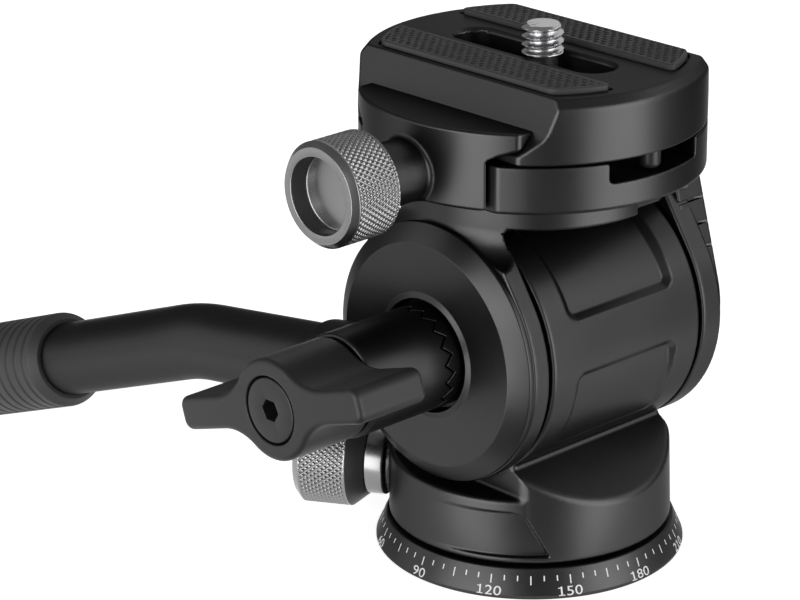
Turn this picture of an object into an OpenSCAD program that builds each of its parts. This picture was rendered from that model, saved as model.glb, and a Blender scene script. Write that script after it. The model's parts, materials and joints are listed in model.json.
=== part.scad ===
// Fluid video head: dial base, pan body with tilt drum, yoke, dovetail clamp, plate and pan handle.
// Units are millimetres. The origin is the middle of the base's underside, +Z is up.
// The tilt axis runs along X, the lens looks toward -Y, and the handle side is -X.

/* [Base and pan] */
// Overhang of the dial ring's foot beyond the pan wall
dial_out = 2.2; // [1.8:0.1:2.6]
// Height of the dial ring
base_h = 4.5; // [4.2:0.1:4.8]
// Overhang of the dial ring's top edge beyond the pan wall
dial_top_out = 0.5; // [0.3:0.1:0.8]
// Radius of the pan body's wall
pan_r = 21.9; // [21.7:0.1:22.1]
// Height of the pan body's side lips above the floor
lip_z = 15.2; // [14.8:0.1:15.4]
// Height of the front shoulder's rim above the floor
shoulder_z = 13.9; // [13.6:0.1:14.4]
// Slope of the two shoulders, in degrees
shoulder_slope = 32.5; // [30:0.5:35]
// Tap radius of the 3/8 inch tripod thread
tripod_tap_r = 4; // [3.9:0.05:4.1]
// Depth of the tripod thread
tripod_depth = 9; // [8:0.5:10]
// Radius of the spindle that the pan body turns on
spindle_r = 7; // [6.6:0.1:7.4]
// Radius of the spindle's flange
flange_r = 11.5; // [11.2:0.1:11.8]
// Outer radius of the ring that keeps the flange in the pan body
keeper_r = 15.5; // [15.2:0.1:16]

/* [Tilt] */
// Height of the tilt axis above the floor
tilt_z = 36.5; // [36.4:0.1:37.5]
// Radius of the tilt drum
drum_r = 20.4; // [20.2:0.1:20.6]
// Half width of the tilt drum
drum_half = 16; // [15.6:0.1:16.2]
// Half width of the pockets in the drum's face
pocket_half = 11.4; // [10.8:0.1:11.8]
// Depth of the pockets in the drum's face
pocket_depth = 0.9; // [0.6:0.1:1.2]
// Radius of the yoke's round cheeks
cheek_r = 20.4; // [20.2:0.1:20.5]
// Distance from the middle to the left arm's outer face
arm_left_out = 20; // [19.8:0.1:20.2]
// Distance from the middle to the right arm's outer face
arm_right_out = 20.9; // [20.7:0.1:21.1]
// Radius of the trunnions that carry the yoke
trunnion_r = 8; // [7.6:0.1:8.4]
// Radius of the drag chamber inside the drum
chamber_r = 14; // [13.6:0.1:14.4]
// Radius of the yoke's round bridge
bridge_r = 20; // [19.8:0.1:20.2]
// Height of the bridge's underside above the floor
bridge_z = 57.5; // [57.4:0.1:58]
// Distance from the middle to the left disc's face
disc_face_x = 22.6; // [22.4:0.1:22.8]
// Radius of the left disc's flat face
disc_face_r = 17.3; // [17:0.1:17.6]
// Radius of the well around the rosette
well_r = 8.75; // [8.6:0.05:8.9]

/* [Clamp and plate] */
// Radius of the clamp and of the plate's round ends
platform_r = 26.2; // [26:0.1:26.5]
// Height of the clamp's underside above the floor
clamp_z = 62; // [61.8:0.1:62.4]
// Thickness of the clamp's floor
clamp_floor = 7.2; // [7:0.1:7.4]
// Height of the jaws above the clamp's floor
jaw_h = 5; // [4.8:0.1:5.2]
// Height of the plate
plate_h = 9.8; // [9.6:0.1:10]
// Half width of the plate's dovetail at its foot
dovetail_half = 20; // [19.8:0.1:20.2]
// Half width of the plate's top face
plate_top_half = 15.5; // [15.2:0.1:15.8]
// Travel of the moving jaw
jaw_travel = 3.2; // [2.8:0.1:3.4]
// Travel of the plate to each side, up to its stop pins
plate_travel = 5; // [4:0.5:5]
// Thread radius of the 1/4 inch camera screw
camera_screw_r = 3.175; // [3.1:0.025:3.25]
// Height of the camera screw above the plate
camera_screw_h = 4.55; // [4.2:0.05:5]
// Place of the camera screw along the slot
camera_screw_y = -2; // [-4:0.5:4]
// Half length of the plate's slot
slot_half = 15.4; // [15.2:0.1:15.8]
// Height of the rubber strips above the plate
strip_proud = 0.8; // [0.6:0.1:1]

/* [Knobs] */
// Radius of the two knurled knobs
knob_r = 8; // [7.8:0.1:8.2]
// Length of the clamp knob
clamp_knob_l = 8.9; // [8.6:0.1:9.2]
// Height of the clamp screw above the clamp's underside
clamp_screw_up = 4.5; // [4.4:0.1:4.6]
// Length of the moving jaw's boss
jaw_boss_l = 8.1; // [7.9:0.1:8.3]
// Direction of the pan lock knob, in degrees from +X
lock_angle = 122; // [120:1:124]
// Height of the pan lock knob's axis above the floor
lock_z = 10.4; // [10.3:0.1:10.5]
// Distance from the pan axis to the end of the pan lock knob
lock_end = 36.8; // [36.4:0.1:37.2]
// Radius of the wing knob's hub
wing_hub_r = 7.7; // [7.4:0.1:8]
// Distance from the tilt axis to the tips of the wings
wing_reach = 20.4; // [19.8:0.1:20.8]
// Half thickness of the wings
wing_half = 2.6; // [2.4:0.1:2.8]
// Depth of the wing knob
wing_depth = 13.1; // [12.8:0.1:13.4]
// Lean of the wings, in degrees
wing_lean = -18; // [-22:1:-14]

/* [Handle] */
// Radius of the handle's barrel
barrel_r = 8; // [7.8:0.1:8.1]
// Length of the handle's barrel, up to the roots of its teeth
barrel_l = 14.4; // [14.2:0.1:14.6]
// Radius of the handle's tube
tube_r = 5.95; // [5.8:0.05:6]
// Wall of the handle's tube
tube_wall = 1.5; // [1.2:0.1:1.8]
// Drop of the tube's first stretch, in degrees
tube_drop = 8.5; // [7:0.5:9]
// Length of the tube's first stretch
tube_first = 36; // [34:0.5:37]
// Bend of the tube, in degrees
tube_bend = 12.3; // [11:0.1:12.5]
// Radius of the tube's bend
tube_bend_r = 40; // [36:1:44]
// Length of the tube's last stretch
tube_last = 55; // [48:1:56]
// Length of the rubber grip
grip_l = 25; // [22:1:30]
// Radius of the rubber grip
grip_r = 7.8; // [7.4:0.1:8]
// Number of teeth on each rosette
teeth = 18; // [18:18:36]
// Height of the rosette teeth
tooth_h = 0.8; // [0.6:0.1:0.8]

/* [Clearances] */
// Gap between the turning pan body and the dial ring
pan_gap = 0.3; // [0.3:0.05:0.4]
// Side gap between the drum and the yoke's arms
arm_gap = 0.8; // [0.6:0.1:1]
// Radial clearance of running fits
run_fit = 0.05; // [0.03:0.01:0.08]
// Clearance of sliding faces
slide_fit = 0.15; // [0.1:0.05:0.25]
// Clearance between the clamp's floor and the plate
floor_gap = 0.2; // [0.15:0.05:0.3]
// Gap between the two rosettes' crests
crest_gap = 0.15; // [0.15:0.05:0.25]
// Gap behind a turning knob
knob_gap = 0.3; // [0.3:0.05:0.4]

/* [Hidden] */
$fn = 72;
eps = 0.01;
// Fillets stop this much short of tangent, so that faces cross where they meet.
crisp = 0.1;

black = [0.07, 0.07, 0.075];
dark = [0.13, 0.13, 0.14];
rubber = [0.04, 0.04, 0.04];
gunmetal = [0.45, 0.45, 0.46];
steel = [0.7, 0.71, 0.72];
bronze = [0.6, 0.45, 0.25];
polymer = [0.85, 0.85, 0.8];

base_r = pan_r + dial_out;
base_top_r = pan_r + dial_top_out;
// Length of cutters that run out of the part.
far = 3 * platform_r;

// Levels of the pan bearing, from the floor up.
flange_h = 3.6;
flange_z0 = lock_z - flange_h / 2;
flange_z1 = lock_z + flange_h / 2;
washer_t = 0.35;
washer_play = 0.05;
keeper_z1 = flange_z0 - washer_t - washer_play;
ceiling_z = flange_z1 + washer_t + washer_play;
pan_z0 = base_h + pan_gap;
stub_r = 5;
stub_h = 2.2;
flange_play = 0.7;
keeper_screw_r = 1;
keeper_head_r = 1.5;
keeper_circle = (flange_r + flange_play + keeper_r) / 2;
lock_boss_r = 5.3;
keeper_angles = [lock_angle - 60, lock_angle + 60, lock_angle + 180];

// Tilt bearing, outward from the middle.
web_half = drum_half + 0.2;
arm_in = drum_half + arm_gap;
bush_in = 9;
bush_wall = 1.5;
rotor_half = 7.6;
rotor_play = 0.5;
bolt_r = 3;
bolt_grip = 11;
well_x = arm_left_out + 0.6;
stud_in = 8;
cover_x = arm_right_out;
cover_t = 3.2;
cover_r = 17.5;
cover_top_half = 12.3;

// Clamp levels.
floor_z = clamp_z + clamp_floor;
jaw_z1 = floor_z + jaw_h;
plate_z0 = floor_z + floor_gap;
plate_z1 = plate_z0 + plate_h;
screw_z = clamp_z + clamp_screw_up;
flank_z0 = plate_z0 + 1.3;
flank_h = 2.9;
neck_x = dovetail_half - flank_h;
jaw_wall = 3.6;
split_gap = 0.7;
split_x = platform_r - jaw_wall - split_gap / 2;
jaw_x = split_x + split_gap / 2;
base_x = split_x - split_gap / 2;
jaw_lift = 0.25;
lip_half = 16.85;
cap_circle = 11;
cap_screw_r = 1.5;
cap_head_r = 2.75;
cap_sink = 3;
cap_tip = 1;
boss_r = 4.8;
jaw_screw_r = 2;
screw_in = 10;
rod_r = 1.5;
rod_y = 7;
rod_seat = 0.9;
rod_in = base_x - jaw_travel - 4.5;
window_half = 9;
window_z = floor_z - 3.1;
pin_r = 1.6;
pin_seat = 3;
pin_y = platform_r - pin_r - 0.8;
window_y = pin_y - pin_r - plate_travel - 0.2;
strip_in = 6.5;
strip_out = 14.4;
strip_seat = 0.4;
strip_r = 23.6;
well_half = 6.2;
well_roof = 4.2;
head_r = 5.6;
head_h = 2.6;
slider_t = 1;
slider_half = 5;
slider_play = 0.1;

// Knob and handle places along the tilt axis, away from the middle on the handle side.
boss_end = platform_r + jaw_boss_l;
knob_x0 = boss_end + knob_gap;
rosette_root = disc_face_x + 1.5;
crest_x = rosette_root + tooth_h;
barrel_crest = crest_x + crest_gap;
barrel_x0 = barrel_crest + tooth_h;
barrel_x1 = barrel_x0 + barrel_l;
tube_x = (barrel_crest + barrel_x1) / 2;
wing_x0 = barrel_x1 + knob_gap;
wing_x1 = wing_x0 + wing_depth;
cap_r = 5.2;
cap_h = 4;
tooth_in = 5.6;

// Moves its children to the tilt axis.
module at_tilt() translate([0, 0, tilt_z]) children();

// Cylinder along X, from x0 to x1.
module x_rod(r, x0, x1) translate([x0, 0, 0]) rotate([0, 90, 0]) cylinder(r = r, h = x1 - x0);

// Solid of revolution about X. Each point is [x, radius].
module x_turned(points) rotate([0, 90, 0]) rotate_extrude() polygon([for (p = points) [p[1], p[0]]]);

// Extrudes a profile drawn in Y and Z along X, from x0 to x1.
module x_slab(x0, x1) translate([x0, 0, 0]) rotate([90, 0, 90]) linear_extrude(x1 - x0) children();

// Extrudes a profile drawn in X and Z along Y, to both sides.
module y_slab(half) translate([0, half, 0]) rotate([90, 0, 0]) linear_extrude(2 * half) children();

// Moves its children to the pan lock's axis, with +Z pointing out of the pan body.
module at_lock() translate([0, 0, lock_z]) rotate([0, 0, lock_angle]) rotate([0, 90, 0]) children();

module washer(ro, ri, z0, t) translate([0, 0, z0]) difference() {
    cylinder(r = ro, h = t);
    translate([0, 0, -1]) cylinder(r = ri, h = t + 2);
}

// Dial ring with the bevel that carries the scale.
module base_ring() color(black) {
    foot_h = 0.7;
    edge = 0.3;
    rotate_extrude() polygon([[spindle_r, 0], [base_r - edge, 0], [base_r, edge], [base_r, foot_h],
        [base_top_r, base_h], [spindle_r, base_h]]);
}

// Steel spindle pressed into the ring: tripod thread below, thrust flange and stub above.
module spindle() color(steel) {
    rotate_extrude() polygon([[tripod_tap_r, 0], [spindle_r, 0], [spindle_r, flange_z0],
        [flange_r, flange_z0], [flange_r, flange_z1], [stub_r, flange_z1], [stub_r, flange_z1 + stub_h],
        [0, flange_z1 + stub_h], [0, tripod_depth], [tripod_tap_r, tripod_depth]]);
}

// Two slippery washers, one on each side of the flange.
module pan_washers() color(polymer) {
    play = 0.4;
    washer(flange_r - play, spindle_r + play, flange_z0 - washer_t, washer_t);
    washer(flange_r - play, stub_r + play, flange_z1, washer_t);
}

// Outside of the pan body below the drum: turned wall, sloped shoulders and side lips.
module pan_lower() {
    edge = 0.6;
    roof_z = tilt_z - drum_r / 2;
    run = (roof_z - shoulder_z) / tan(shoulder_slope);
    drop = tan(shoulder_slope);
    intersection() {
        rotate_extrude() polygon([[0, pan_z0], [pan_r - edge, pan_z0], [pan_r, pan_z0 + edge],
            [pan_r, roof_z], [0, roof_z]]);
        union() {
            x_slab(-web_half, web_half) polygon([[-pan_r - 1, 0], [-pan_r - 1, shoulder_z - drop],
                [run - pan_r, roof_z], [pan_r - run, roof_z], [pan_r + 1, shoulder_z - drop],
                [pan_r + 1, 0]]);
            for (side = [-1, 1]) translate([side * (web_half + 5 - eps), 0, lip_z / 2])
                cube([10, 2 * pan_r, lip_z], center = true);
        }
    }
}

// Shallow panel in the pan wall, deeper toward its slanted front end.
module pan_panel() {
    panel_z0 = 6;
    panel_z1 = 13.2;
    panel_end = -134.2;
    slant = 35.6;
    depth = 0.67;
    mid = (panel_z0 + panel_z1) / 2;
    intersection() {
        translate([0, 0, panel_z0]) difference() {
            cylinder(r = pan_r + 1, h = panel_z1 - panel_z0);
            translate([0, depth, -1]) cylinder(r = pan_r, h = panel_z1);
        }
        rotate([0, 0, panel_end]) translate([pan_r, 0, mid]) rotate([slant, 0, 0])
            translate([-12, -24, -12]) cube([15, 24, 24]);
    }
}

// Pocket in the drum's face, from one elevation angle to another, with cut corners.
module drum_pocket(from, to) {
    corner = 1.3;
    floor_r = drum_r - pocket_depth;
    difference() {
        rotate([0, 90, 0]) rotate([0, 0, -90 - to]) rotate_extrude(angle = to - from)
            translate([floor_r, -pocket_half]) square([3, 2 * pocket_half]);
        for (x = [-1, 1], at = [from, to]) rotate([-at, 0, 0]) translate([x * pocket_half, -floor_r, 0])
            rotate([0, 45, 0]) cube([corner * sqrt(2), 8, corner * sqrt(2)], center = true);
    }
}

// Tilt drum with its face pockets, about the tilt axis.
module drum() difference() {
    edge = 0.3;
    x_turned([[-drum_half, 0], [-drum_half, drum_r - edge], [edge - drum_half, drum_r],
        [drum_half - edge, drum_r], [drum_half, drum_r - edge], [drum_half, 0]]);
    drum_pocket(20.5, 159.5);
    for (rear = [0, 1]) mirror([0, rear, 0]) drum_pocket(-40, -1.5);
}

// Pan body and tilt drum in one piece, bored for the pan bearing, the tilt bearing and the lock.
module pan_body() color(black) difference() {
    union() {
        difference() {
            pan_lower();
            pan_panel();
        }
        at_tilt() drum();
        at_lock() translate([0, 0, pan_r - 4]) cylinder(r = lock_boss_r, h = 4.3);
    }
    at_tilt() x_rod(trunnion_r + bush_wall, -drum_half - 1, 0);
    at_tilt() x_rod(chamber_r, -bush_in, drum_half + 1);
    translate([0, 0, pan_z0 - 1]) cylinder(r = keeper_r, h = keeper_z1 - pan_z0 + 1);
    translate([0, 0, pan_z0]) cylinder(r = flange_r + flange_play, h = ceiling_z - pan_z0);
    translate([0, 0, pan_z0]) cylinder(r = stub_r + run_fit, h = flange_z1 + stub_h + 0.4 - pan_z0);
    for (a = keeper_angles) rotate([0, 0, a]) translate([keeper_circle, 0, pan_z0])
        cylinder(r = keeper_screw_r, h = keeper_z1 + 4 - pan_z0);
    at_lock() translate([0, 0, flange_r]) cylinder(r = lock_screw_r + run_fit, h = pan_r);
}
lock_screw_r = 2;

// Ring screwed under the pan body, which holds the spindle's flange in it.
module keeper() color(dark) difference() {
    washer(keeper_r, spindle_r + run_fit, pan_z0, keeper_z1 - pan_z0);
    for (a = keeper_angles) rotate([0, 0, a]) translate([keeper_circle, 0, pan_z0]) {
        cylinder(r = keeper_screw_r, h = 10);
        translate([0, 0, -1]) cylinder(r = keeper_head_r, h = 2.2);
    }
}

module keeper_screws() color(steel) {
    head = 1.2;
    for (a = keeper_angles) rotate([0, 0, a]) translate([keeper_circle, 0, pan_z0]) {
        cylinder(r = keeper_head_r, h = head);
        cylinder(r = keeper_screw_r, h = keeper_z1 + 3.5 - pan_z0);
    }
}

// Bronze bushes in the drum: a thin one on the left, a wide one that closes the chamber on the right.
module tilt_bushes() color(bronze) at_tilt() difference() {
    union() {
        x_rod(trunnion_r + bush_wall, -drum_half, -bush_in);
        x_rod(chamber_r, bush_in, drum_half);
    }
    x_rod(trunnion_r + run_fit, -drum_half - 1, drum_half + 1);
}

// Brass pad that the lock screw presses on the spindle's flange.
shoe_gap = 0.2;
shoe_l = 2.6;
module pan_shoe() color(bronze) at_lock() translate([0, 0, flange_r + shoe_gap])
    cylinder(r = lock_screw_r, h = shoe_l);

neck_z0 = pan_r + 0.3 + knob_gap;
neck_l = 3;
neck_r = 5.6;
collar_l = 2.5;
module pan_lock_screw() color(steel) {
    inner = flange_r + shoe_gap + shoe_l + 0.1;
    at_lock() translate([0, 0, inner]) cylinder(r = lock_screw_r, h = lock_end - 4 - inner);
}

module pan_lock_neck() color(steel) at_lock() washer(neck_r, lock_screw_r, neck_z0, neck_l);

// Knurled knob with a conical collar and a dished end.
module pan_lock_knob() color(gunmetal) at_lock() difference() {
    c0 = neck_z0 + neck_l;
    c1 = c0 + collar_l;
    rim = 1.2;
    rotate_extrude() polygon([[0, c0], [neck_r + 0.2, c0], [knob_r, c1], [knob_r, lock_end - rim],
        [knob_r - rim, lock_end], [0, lock_end]]);
    translate([0, 0, c0 - 1]) cylinder(r = lock_screw_r, h = lock_end - 4 - c0 + 1);
    translate([0, 0, lock_end - 2.8]) cylinder(r = knob_r - 2.4, h = 4);
}

// Side view of the left arm: a round cheek with a neck that the bridge's wall trims.
module left_arm_outline() {
    neck = 15.5;
    circle(r = cheek_r);
    translate([-neck, 0]) square([2 * neck, clamp_z - tilt_z]);
}

// Side view of the right arm: a round cheek that tapers up to the clamp.
module right_arm_outline() {
    foot_y = 0.93 * cheek_r;
    foot_z = 0.3 * cheek_r;
    top = clamp_z - tilt_z;
    circle(r = cheek_r);
    polygon([[0, 0], [-foot_y, foot_z], [-cover_top_half - 1, top], [cover_top_half + 1, top],
        [foot_y, foot_z]]);
}

// Limits the bridge and the left arm to a round wall, which flares out above the cheek.
module yoke_blank() {
    flare = 9;
    flare_z = bridge_z;
    rotate_extrude() difference() {
        polygon([[0, 0], [bridge_r + flare, 0], [bridge_r + flare, flare_z], [bridge_r, flare_z],
            [bridge_r, clamp_z], [0, clamp_z]]);
        translate([bridge_r + flare, flare_z]) circle(r = flare);
    }
}

// Yoke in one piece: bridge and two arms, on the trunnions.
module yoke() color(black) difference() {
    slit_x = 2.1;
    flat_y = 17.9;
    union() {
        intersection() {
            union() {
                translate([-far, -far, bridge_z]) cube([2 * far, 2 * far, far]);
                at_tilt() x_slab(-arm_left_out, -arm_in) left_arm_outline();
            }
            yoke_blank();
        }
        at_tilt() x_slab(arm_in, arm_right_out) right_arm_outline();
    }
    at_tilt() x_rod(trunnion_r, -arm_left_out - 1, arm_right_out + 1);
    at_tilt() x_rod(trunnion_r + 3, arm_right_out - 1.5, arm_right_out + 1);
    for (p = clamp_screw_places) translate([p[0], p[1], bridge_z + cap_tip - 0.2])
        cylinder(r = cap_screw_r, h = clamp_z);
    translate([slit_x, -flat_y - 10, bridge_z - 1]) cube([arm_in - slit_x, 10, 10]);
}
clamp_screw_places = [for (a = [0, 110, -110]) cap_circle * [cos(a), sin(a)]];

// Left disc: dished face with a well for the rosette, and the left trunnion behind it.
module left_disc() color(black) at_tilt() {
    rim_r = cheek_r - 0.2;
    edge = 0.7;
    x_turned([[-disc_face_x, well_r + edge], [-disc_face_x, disc_face_r], [-arm_left_out - 0.75, rim_r],
        [-arm_left_out, rim_r], [-arm_left_out, trunnion_r], [-rotor_half, trunnion_r], [-rotor_half, 0],
        [1 - bolt_grip, 0], [1 - bolt_grip, bolt_r + run_fit], [-well_x, bolt_r + run_fit],
        [-well_x, well_r], [edge - disc_face_x, well_r]]);
}

// Ring of radial teeth with crests toward +X. The roots lie at x = 0.
module tooth_ring(inner, outer) {
    pitch = 360 / teeth;
    half = inner * tan(pitch / 2) - 0.05;
    difference() {
        x_rod(outer, 0, tooth_h);
        x_rod(inner, -1, tooth_h + 1);
        for (i = [0 : teeth - 1]) rotate([i * pitch, 0, 0]) translate([0, 0, inner - 0.5])
            linear_extrude(outer - inner + 1.5)
                polygon([[0.05, 0], [tooth_h + 0.2, half], [tooth_h + 0.2, -half]]);
    }
}

// Toothed ring that stands in the left disc's well.
module rosette() color(dark) at_tilt() {
    translate([-rosette_root, 0, 0]) mirror([1, 0, 0]) tooth_ring(tooth_in, barrel_r);
    difference() {
        x_rod(barrel_r, -rosette_root, -well_x);
        x_rod(bolt_r + 0.3, -rosette_root - 1, 0);
    }
}

module right_trunnion() color(steel) at_tilt() {
    flange = 1.5;
    x_turned([[rotor_half, 0], [rotor_half, trunnion_r], [arm_right_out - flange, trunnion_r],
        [arm_right_out - flange, trunnion_r + 3], [arm_right_out, trunnion_r + 3],
        [arm_right_out, bolt_r + run_fit], [arm_right_out - stud_in, bolt_r + run_fit],
        [arm_right_out - stud_in, 0]]);
}

// Three finned discs that drag in the grease of the drum's chamber.
module damper_rotor() color(steel) at_tilt() {
    fin_r = chamber_r - rotor_play;
    hub_r = fin_r - 4;
    fin = 2.8;
    gap = (2 * rotor_half - 3 * fin) / 2;
    x_rod(hub_r, -rotor_half, rotor_half);
    for (i = [0 : 2]) x_rod(fin_r, i * (fin + gap) - rotor_half, i * (fin + gap) + fin - rotor_half);
}

// Tapered cover on the right arm, with three grooves across each edge.
module arm_cover() color(black) at_tilt() difference() {
    groove = 0.7;
    top = clamp_z - tilt_z - 0.6;
    lean = atan((cover_r - cover_top_half) / top) + 1.6;
    ty = (cover_r - crisp) * cos(lean);
    tz = (cover_r - crisp) * sin(lean);
    union() {
        x_rod(cover_r, cover_x, cover_x + cover_t);
        x_slab(cover_x, cover_x + cover_t)
            polygon([[-ty, tz], [-cover_top_half, top], [cover_top_half, top], [ty, tz], [0, 0]]);
    }
    x_rod(bolt_r + 0.4, 0, far);
    for (z = [9.5, 13.2, 16.7]) translate([cover_x + cover_t / 2, 0, z]) difference() {
        cube([cover_t + 1, 60, groove], center = true);
        cube([cover_t + 2, 2 * (cover_r - (z - tz) * tan(lean) - 1.5), 2], center = true);
    }
}

// Low dial on the right trunnion that presses the drag plates together.
module tilt_dial() color(gunmetal) at_tilt() {
    dial_r = 10;
    dial_l = 4.2;
    edge = 0.6;
    rim = 2.2;
    dish = 0.8;
    x0 = cover_x + cover_t + knob_gap;
    x1 = x0 + dial_l;
    x_turned([[x0, 0], [x0, dial_r - edge], [x0 + edge, dial_r], [x1 - edge, dial_r], [x1, dial_r - edge],
        [x1, dial_r - rim], [x1 - dish, dial_r - rim - dish / 2], [x1 - dish, 0]]);
    x_rod(bolt_r, arm_right_out - stud_in + 1, x0 + edge);
}

// Turned blank that the clamp's two halves are cut from.
module clamp_blank() {
    foot = 0.6;
    edge = 0.5;
    rotate_extrude() polygon([[0, clamp_z], [platform_r - foot, clamp_z], [platform_r, clamp_z + foot],
        [platform_r, jaw_z1 - edge], [platform_r - edge, jaw_z1], [0, jaw_z1]]);
}

// Clamp body with the fixed jaw, the two windows and the bores for the screw and the rods.
module clamp_base() color(black) difference() {
    bevel = 1.5;
    clamp_blank();
    y_slab(far) polygon([[-far, 0], [-base_x, 0], [-base_x, floor_z], [dovetail_half + slide_fit, floor_z],
        [dovetail_half + slide_fit, flank_z0], [neck_x + slide_fit, flank_z0 + flank_h],
        [neck_x + slide_fit, plate_z1], [-far, plate_z1]]);
    for (side = [-1, 1]) {
        rim_y = side * sqrt(platform_r * platform_r - base_x * base_x);
        translate([-base_x, rim_y, 0]) rotate([0, 0, 45])
            cube([sqrt(2) * bevel, sqrt(2) * bevel, 2 * plate_z1], center = true);
        translate([-window_half, side < 0 ? -window_y - far : window_y, window_z])
            cube([2 * window_half, far, far]);
        translate([0, side * rod_y, screw_z]) x_rod(rod_r + run_fit, -far, 0.5 - rod_in);
    }
    translate([0, 0, screw_z]) x_rod(jaw_screw_r + run_fit, -far, 1 - screw_in);
    for (p = clamp_screw_places) translate([p[0], p[1], 0]) {
        cylinder(r = cap_screw_r, h = plate_z1);
        translate([0, 0, floor_z - cap_sink]) cylinder(r = cap_head_r, h = far);
    }
}

// Three cap screws that hold the clamp on the yoke.
module clamp_screws() color(steel) for (p = clamp_screw_places) translate([p[0], p[1], 0]) difference() {
    union() {
        translate([0, 0, bridge_z + cap_tip]) cylinder(r = cap_screw_r, h = floor_z - cap_sink - bridge_z);
        translate([0, 0, floor_z - cap_sink]) cylinder(r = cap_head_r, h = cap_sink - floor_gap);
    }
    translate([0, 0, floor_z - cap_sink / 2]) cylinder(r = cap_screw_r, h = cap_sink, $fn = 6);
}

// Moving jaw: outer wall, lip over the dovetail, and the boss that the knob bears on.
module jaw() color(black) difference() {
    ring = 0.6;
    union() {
        intersection() {
            clamp_blank();
            y_slab(lip_half) polygon([[-far, clamp_z + jaw_lift], [-jaw_x, clamp_z + jaw_lift],
                [-jaw_x, flank_z0 - 0.3], [-dovetail_half - slide_fit, flank_z0 + 0.2],
                [-neck_x - slide_fit, flank_z0 + flank_h], [-neck_x - slide_fit, plate_z1],
                [-far, plate_z1]]);
        }
        translate([0, 0, screw_z]) x_turned([[-boss_end, 0], [-boss_end, boss_r - 0.3],
            [0.3 - boss_end, boss_r], [-platform_r - ring, boss_r], [-platform_r + ring / 2, boss_r + ring],
            [-jaw_x - 1, boss_r + ring], [-jaw_x - 1, 0]]);
    }
    translate([0, 0, screw_z]) x_rod(jaw_screw_r + 0.1, -far, 0);
    for (side = [-1, 1]) translate([0, side * rod_y, screw_z]) x_rod(rod_r, -jaw_x - rod_seat, 0);
}

// Two rods in the jaw that slide in the clamp body.
module jaw_rods() color(steel) for (side = [-1, 1]) translate([0, side * rod_y, screw_z])
    x_rod(rod_r, -jaw_x - rod_seat, -rod_in);

// Knurled knob with a hollow end.
module clamp_knob() color(gunmetal) translate([0, 0, screw_z]) {
    rim = 1.2;
    cup_r = 5.6;
    cup_l = 3;
    end = knob_x0 + clamp_knob_l;
    x_turned([[-knob_x0, jaw_screw_r], [-knob_x0, knob_r - 0.3], [-knob_x0 - 0.3, knob_r], [rim - end, knob_r],
        [-end, knob_r - rim], [-end, cup_r], [cup_l - end, cup_r], [cup_l - end, 0], [1 - end + cup_l, 0],
        [1 - end + cup_l, jaw_screw_r]]);
}

module clamp_screw() color(steel) translate([0, 0, screw_z])
    x_rod(jaw_screw_r, 4 - knob_x0 - clamp_knob_l, -screw_in);

// Sliding plate: dovetail sides, round ends, camera slot and the well for the screw's head.
module qr_plate() color(black) difference() {
    end_bevel = 1.5;
    side_top = plate_z1 - 0.4;
    well_l = slot_half - camera_screw_r + head_r + 0.2;
    roof_z = plate_z1 - well_roof;
    intersection() {
        rotate_extrude() polygon([[0, plate_z0], [platform_r - 0.3, plate_z0], [platform_r, plate_z0 + 0.3],
            [platform_r, plate_z1 - end_bevel], [platform_r - 1.2, plate_z1], [0, plate_z1]]);
        y_slab(far) polygon([for (s = [1, -1]) each s > 0
            ? [[dovetail_half, plate_z0], [dovetail_half, flank_z0], [neck_x, flank_z0 + flank_h],
                [plate_top_half + 0.2, side_top], [plate_top_half, plate_z1]]
            : [[-plate_top_half, plate_z1], [-plate_top_half - 0.2, side_top], [-neck_x, flank_z0 + flank_h],
                [-dovetail_half, flank_z0], [-dovetail_half, plate_z0]]]);
    }
    slot_prism(camera_screw_r + 0.125, slot_half, 0, far + plate_z1);
    translate([-well_half - slide_fit, -well_l, 0]) cube([2 * (well_half + slide_fit), 2 * well_l, roof_z]);
    for (side = [-1, 1]) {
        translate([0, side * pin_y, 0]) cylinder(r = pin_r, h = plate_z0 + pin_seat);
        strip_form(side, plate_z1 - strip_seat, far, 0);
    }
}

// Upright prism with round ends along Y.
module slot_prism(half, reach, z0, z1) translate([0, 0, z0]) {
    for (side = [-1, 1]) translate([0, side * (reach - half), 0]) cylinder(r = half, h = z1 - z0);
    translate([-half, half - reach, 0]) cube([2 * half, 2 * (reach - half), z1 - z0]);
}

// Outline of one rubber strip, extruded.
module strip_form(side, z0, h, inset) intersection() {
    translate([0, 0, z0]) cylinder(r = strip_r - inset, h = h);
    translate([side * (strip_in + strip_out) / 2, 0, z0 + h / 2])
        cube([strip_out - strip_in - 2 * inset, far, h], center = true);
}

module rubber_strips() color(rubber) for (side = [-1, 1])
    strip_form(side, plate_z1 - strip_seat, strip_seat + strip_proud, 0);

// Two pins under the plate that stop it at the ends of the windows.
module stop_pins() color(steel) for (side = [-1, 1]) translate([0, side * pin_y, 0]) {
    tip_z = window_z + 0.4;
    rotate_extrude() polygon([[0, tip_z], [pin_r - 0.5, tip_z], [pin_r, tip_z + 0.5],
        [pin_r, plate_z0 + pin_seat], [0, plate_z0 + pin_seat]]);
}

// Square washer that guides the camera screw along the slot.
slider_z = plate_z1 - well_roof - slider_play - slider_t;
module screw_washer() color(steel) translate([0, camera_screw_y, slider_z]) difference() {
    translate([-well_half, -slider_half, 0]) cube([2 * well_half, 2 * slider_half, slider_t]);
    translate([0, 0, -1]) cylinder(r = camera_screw_r + run_fit, h = slider_t + 2);
}

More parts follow.
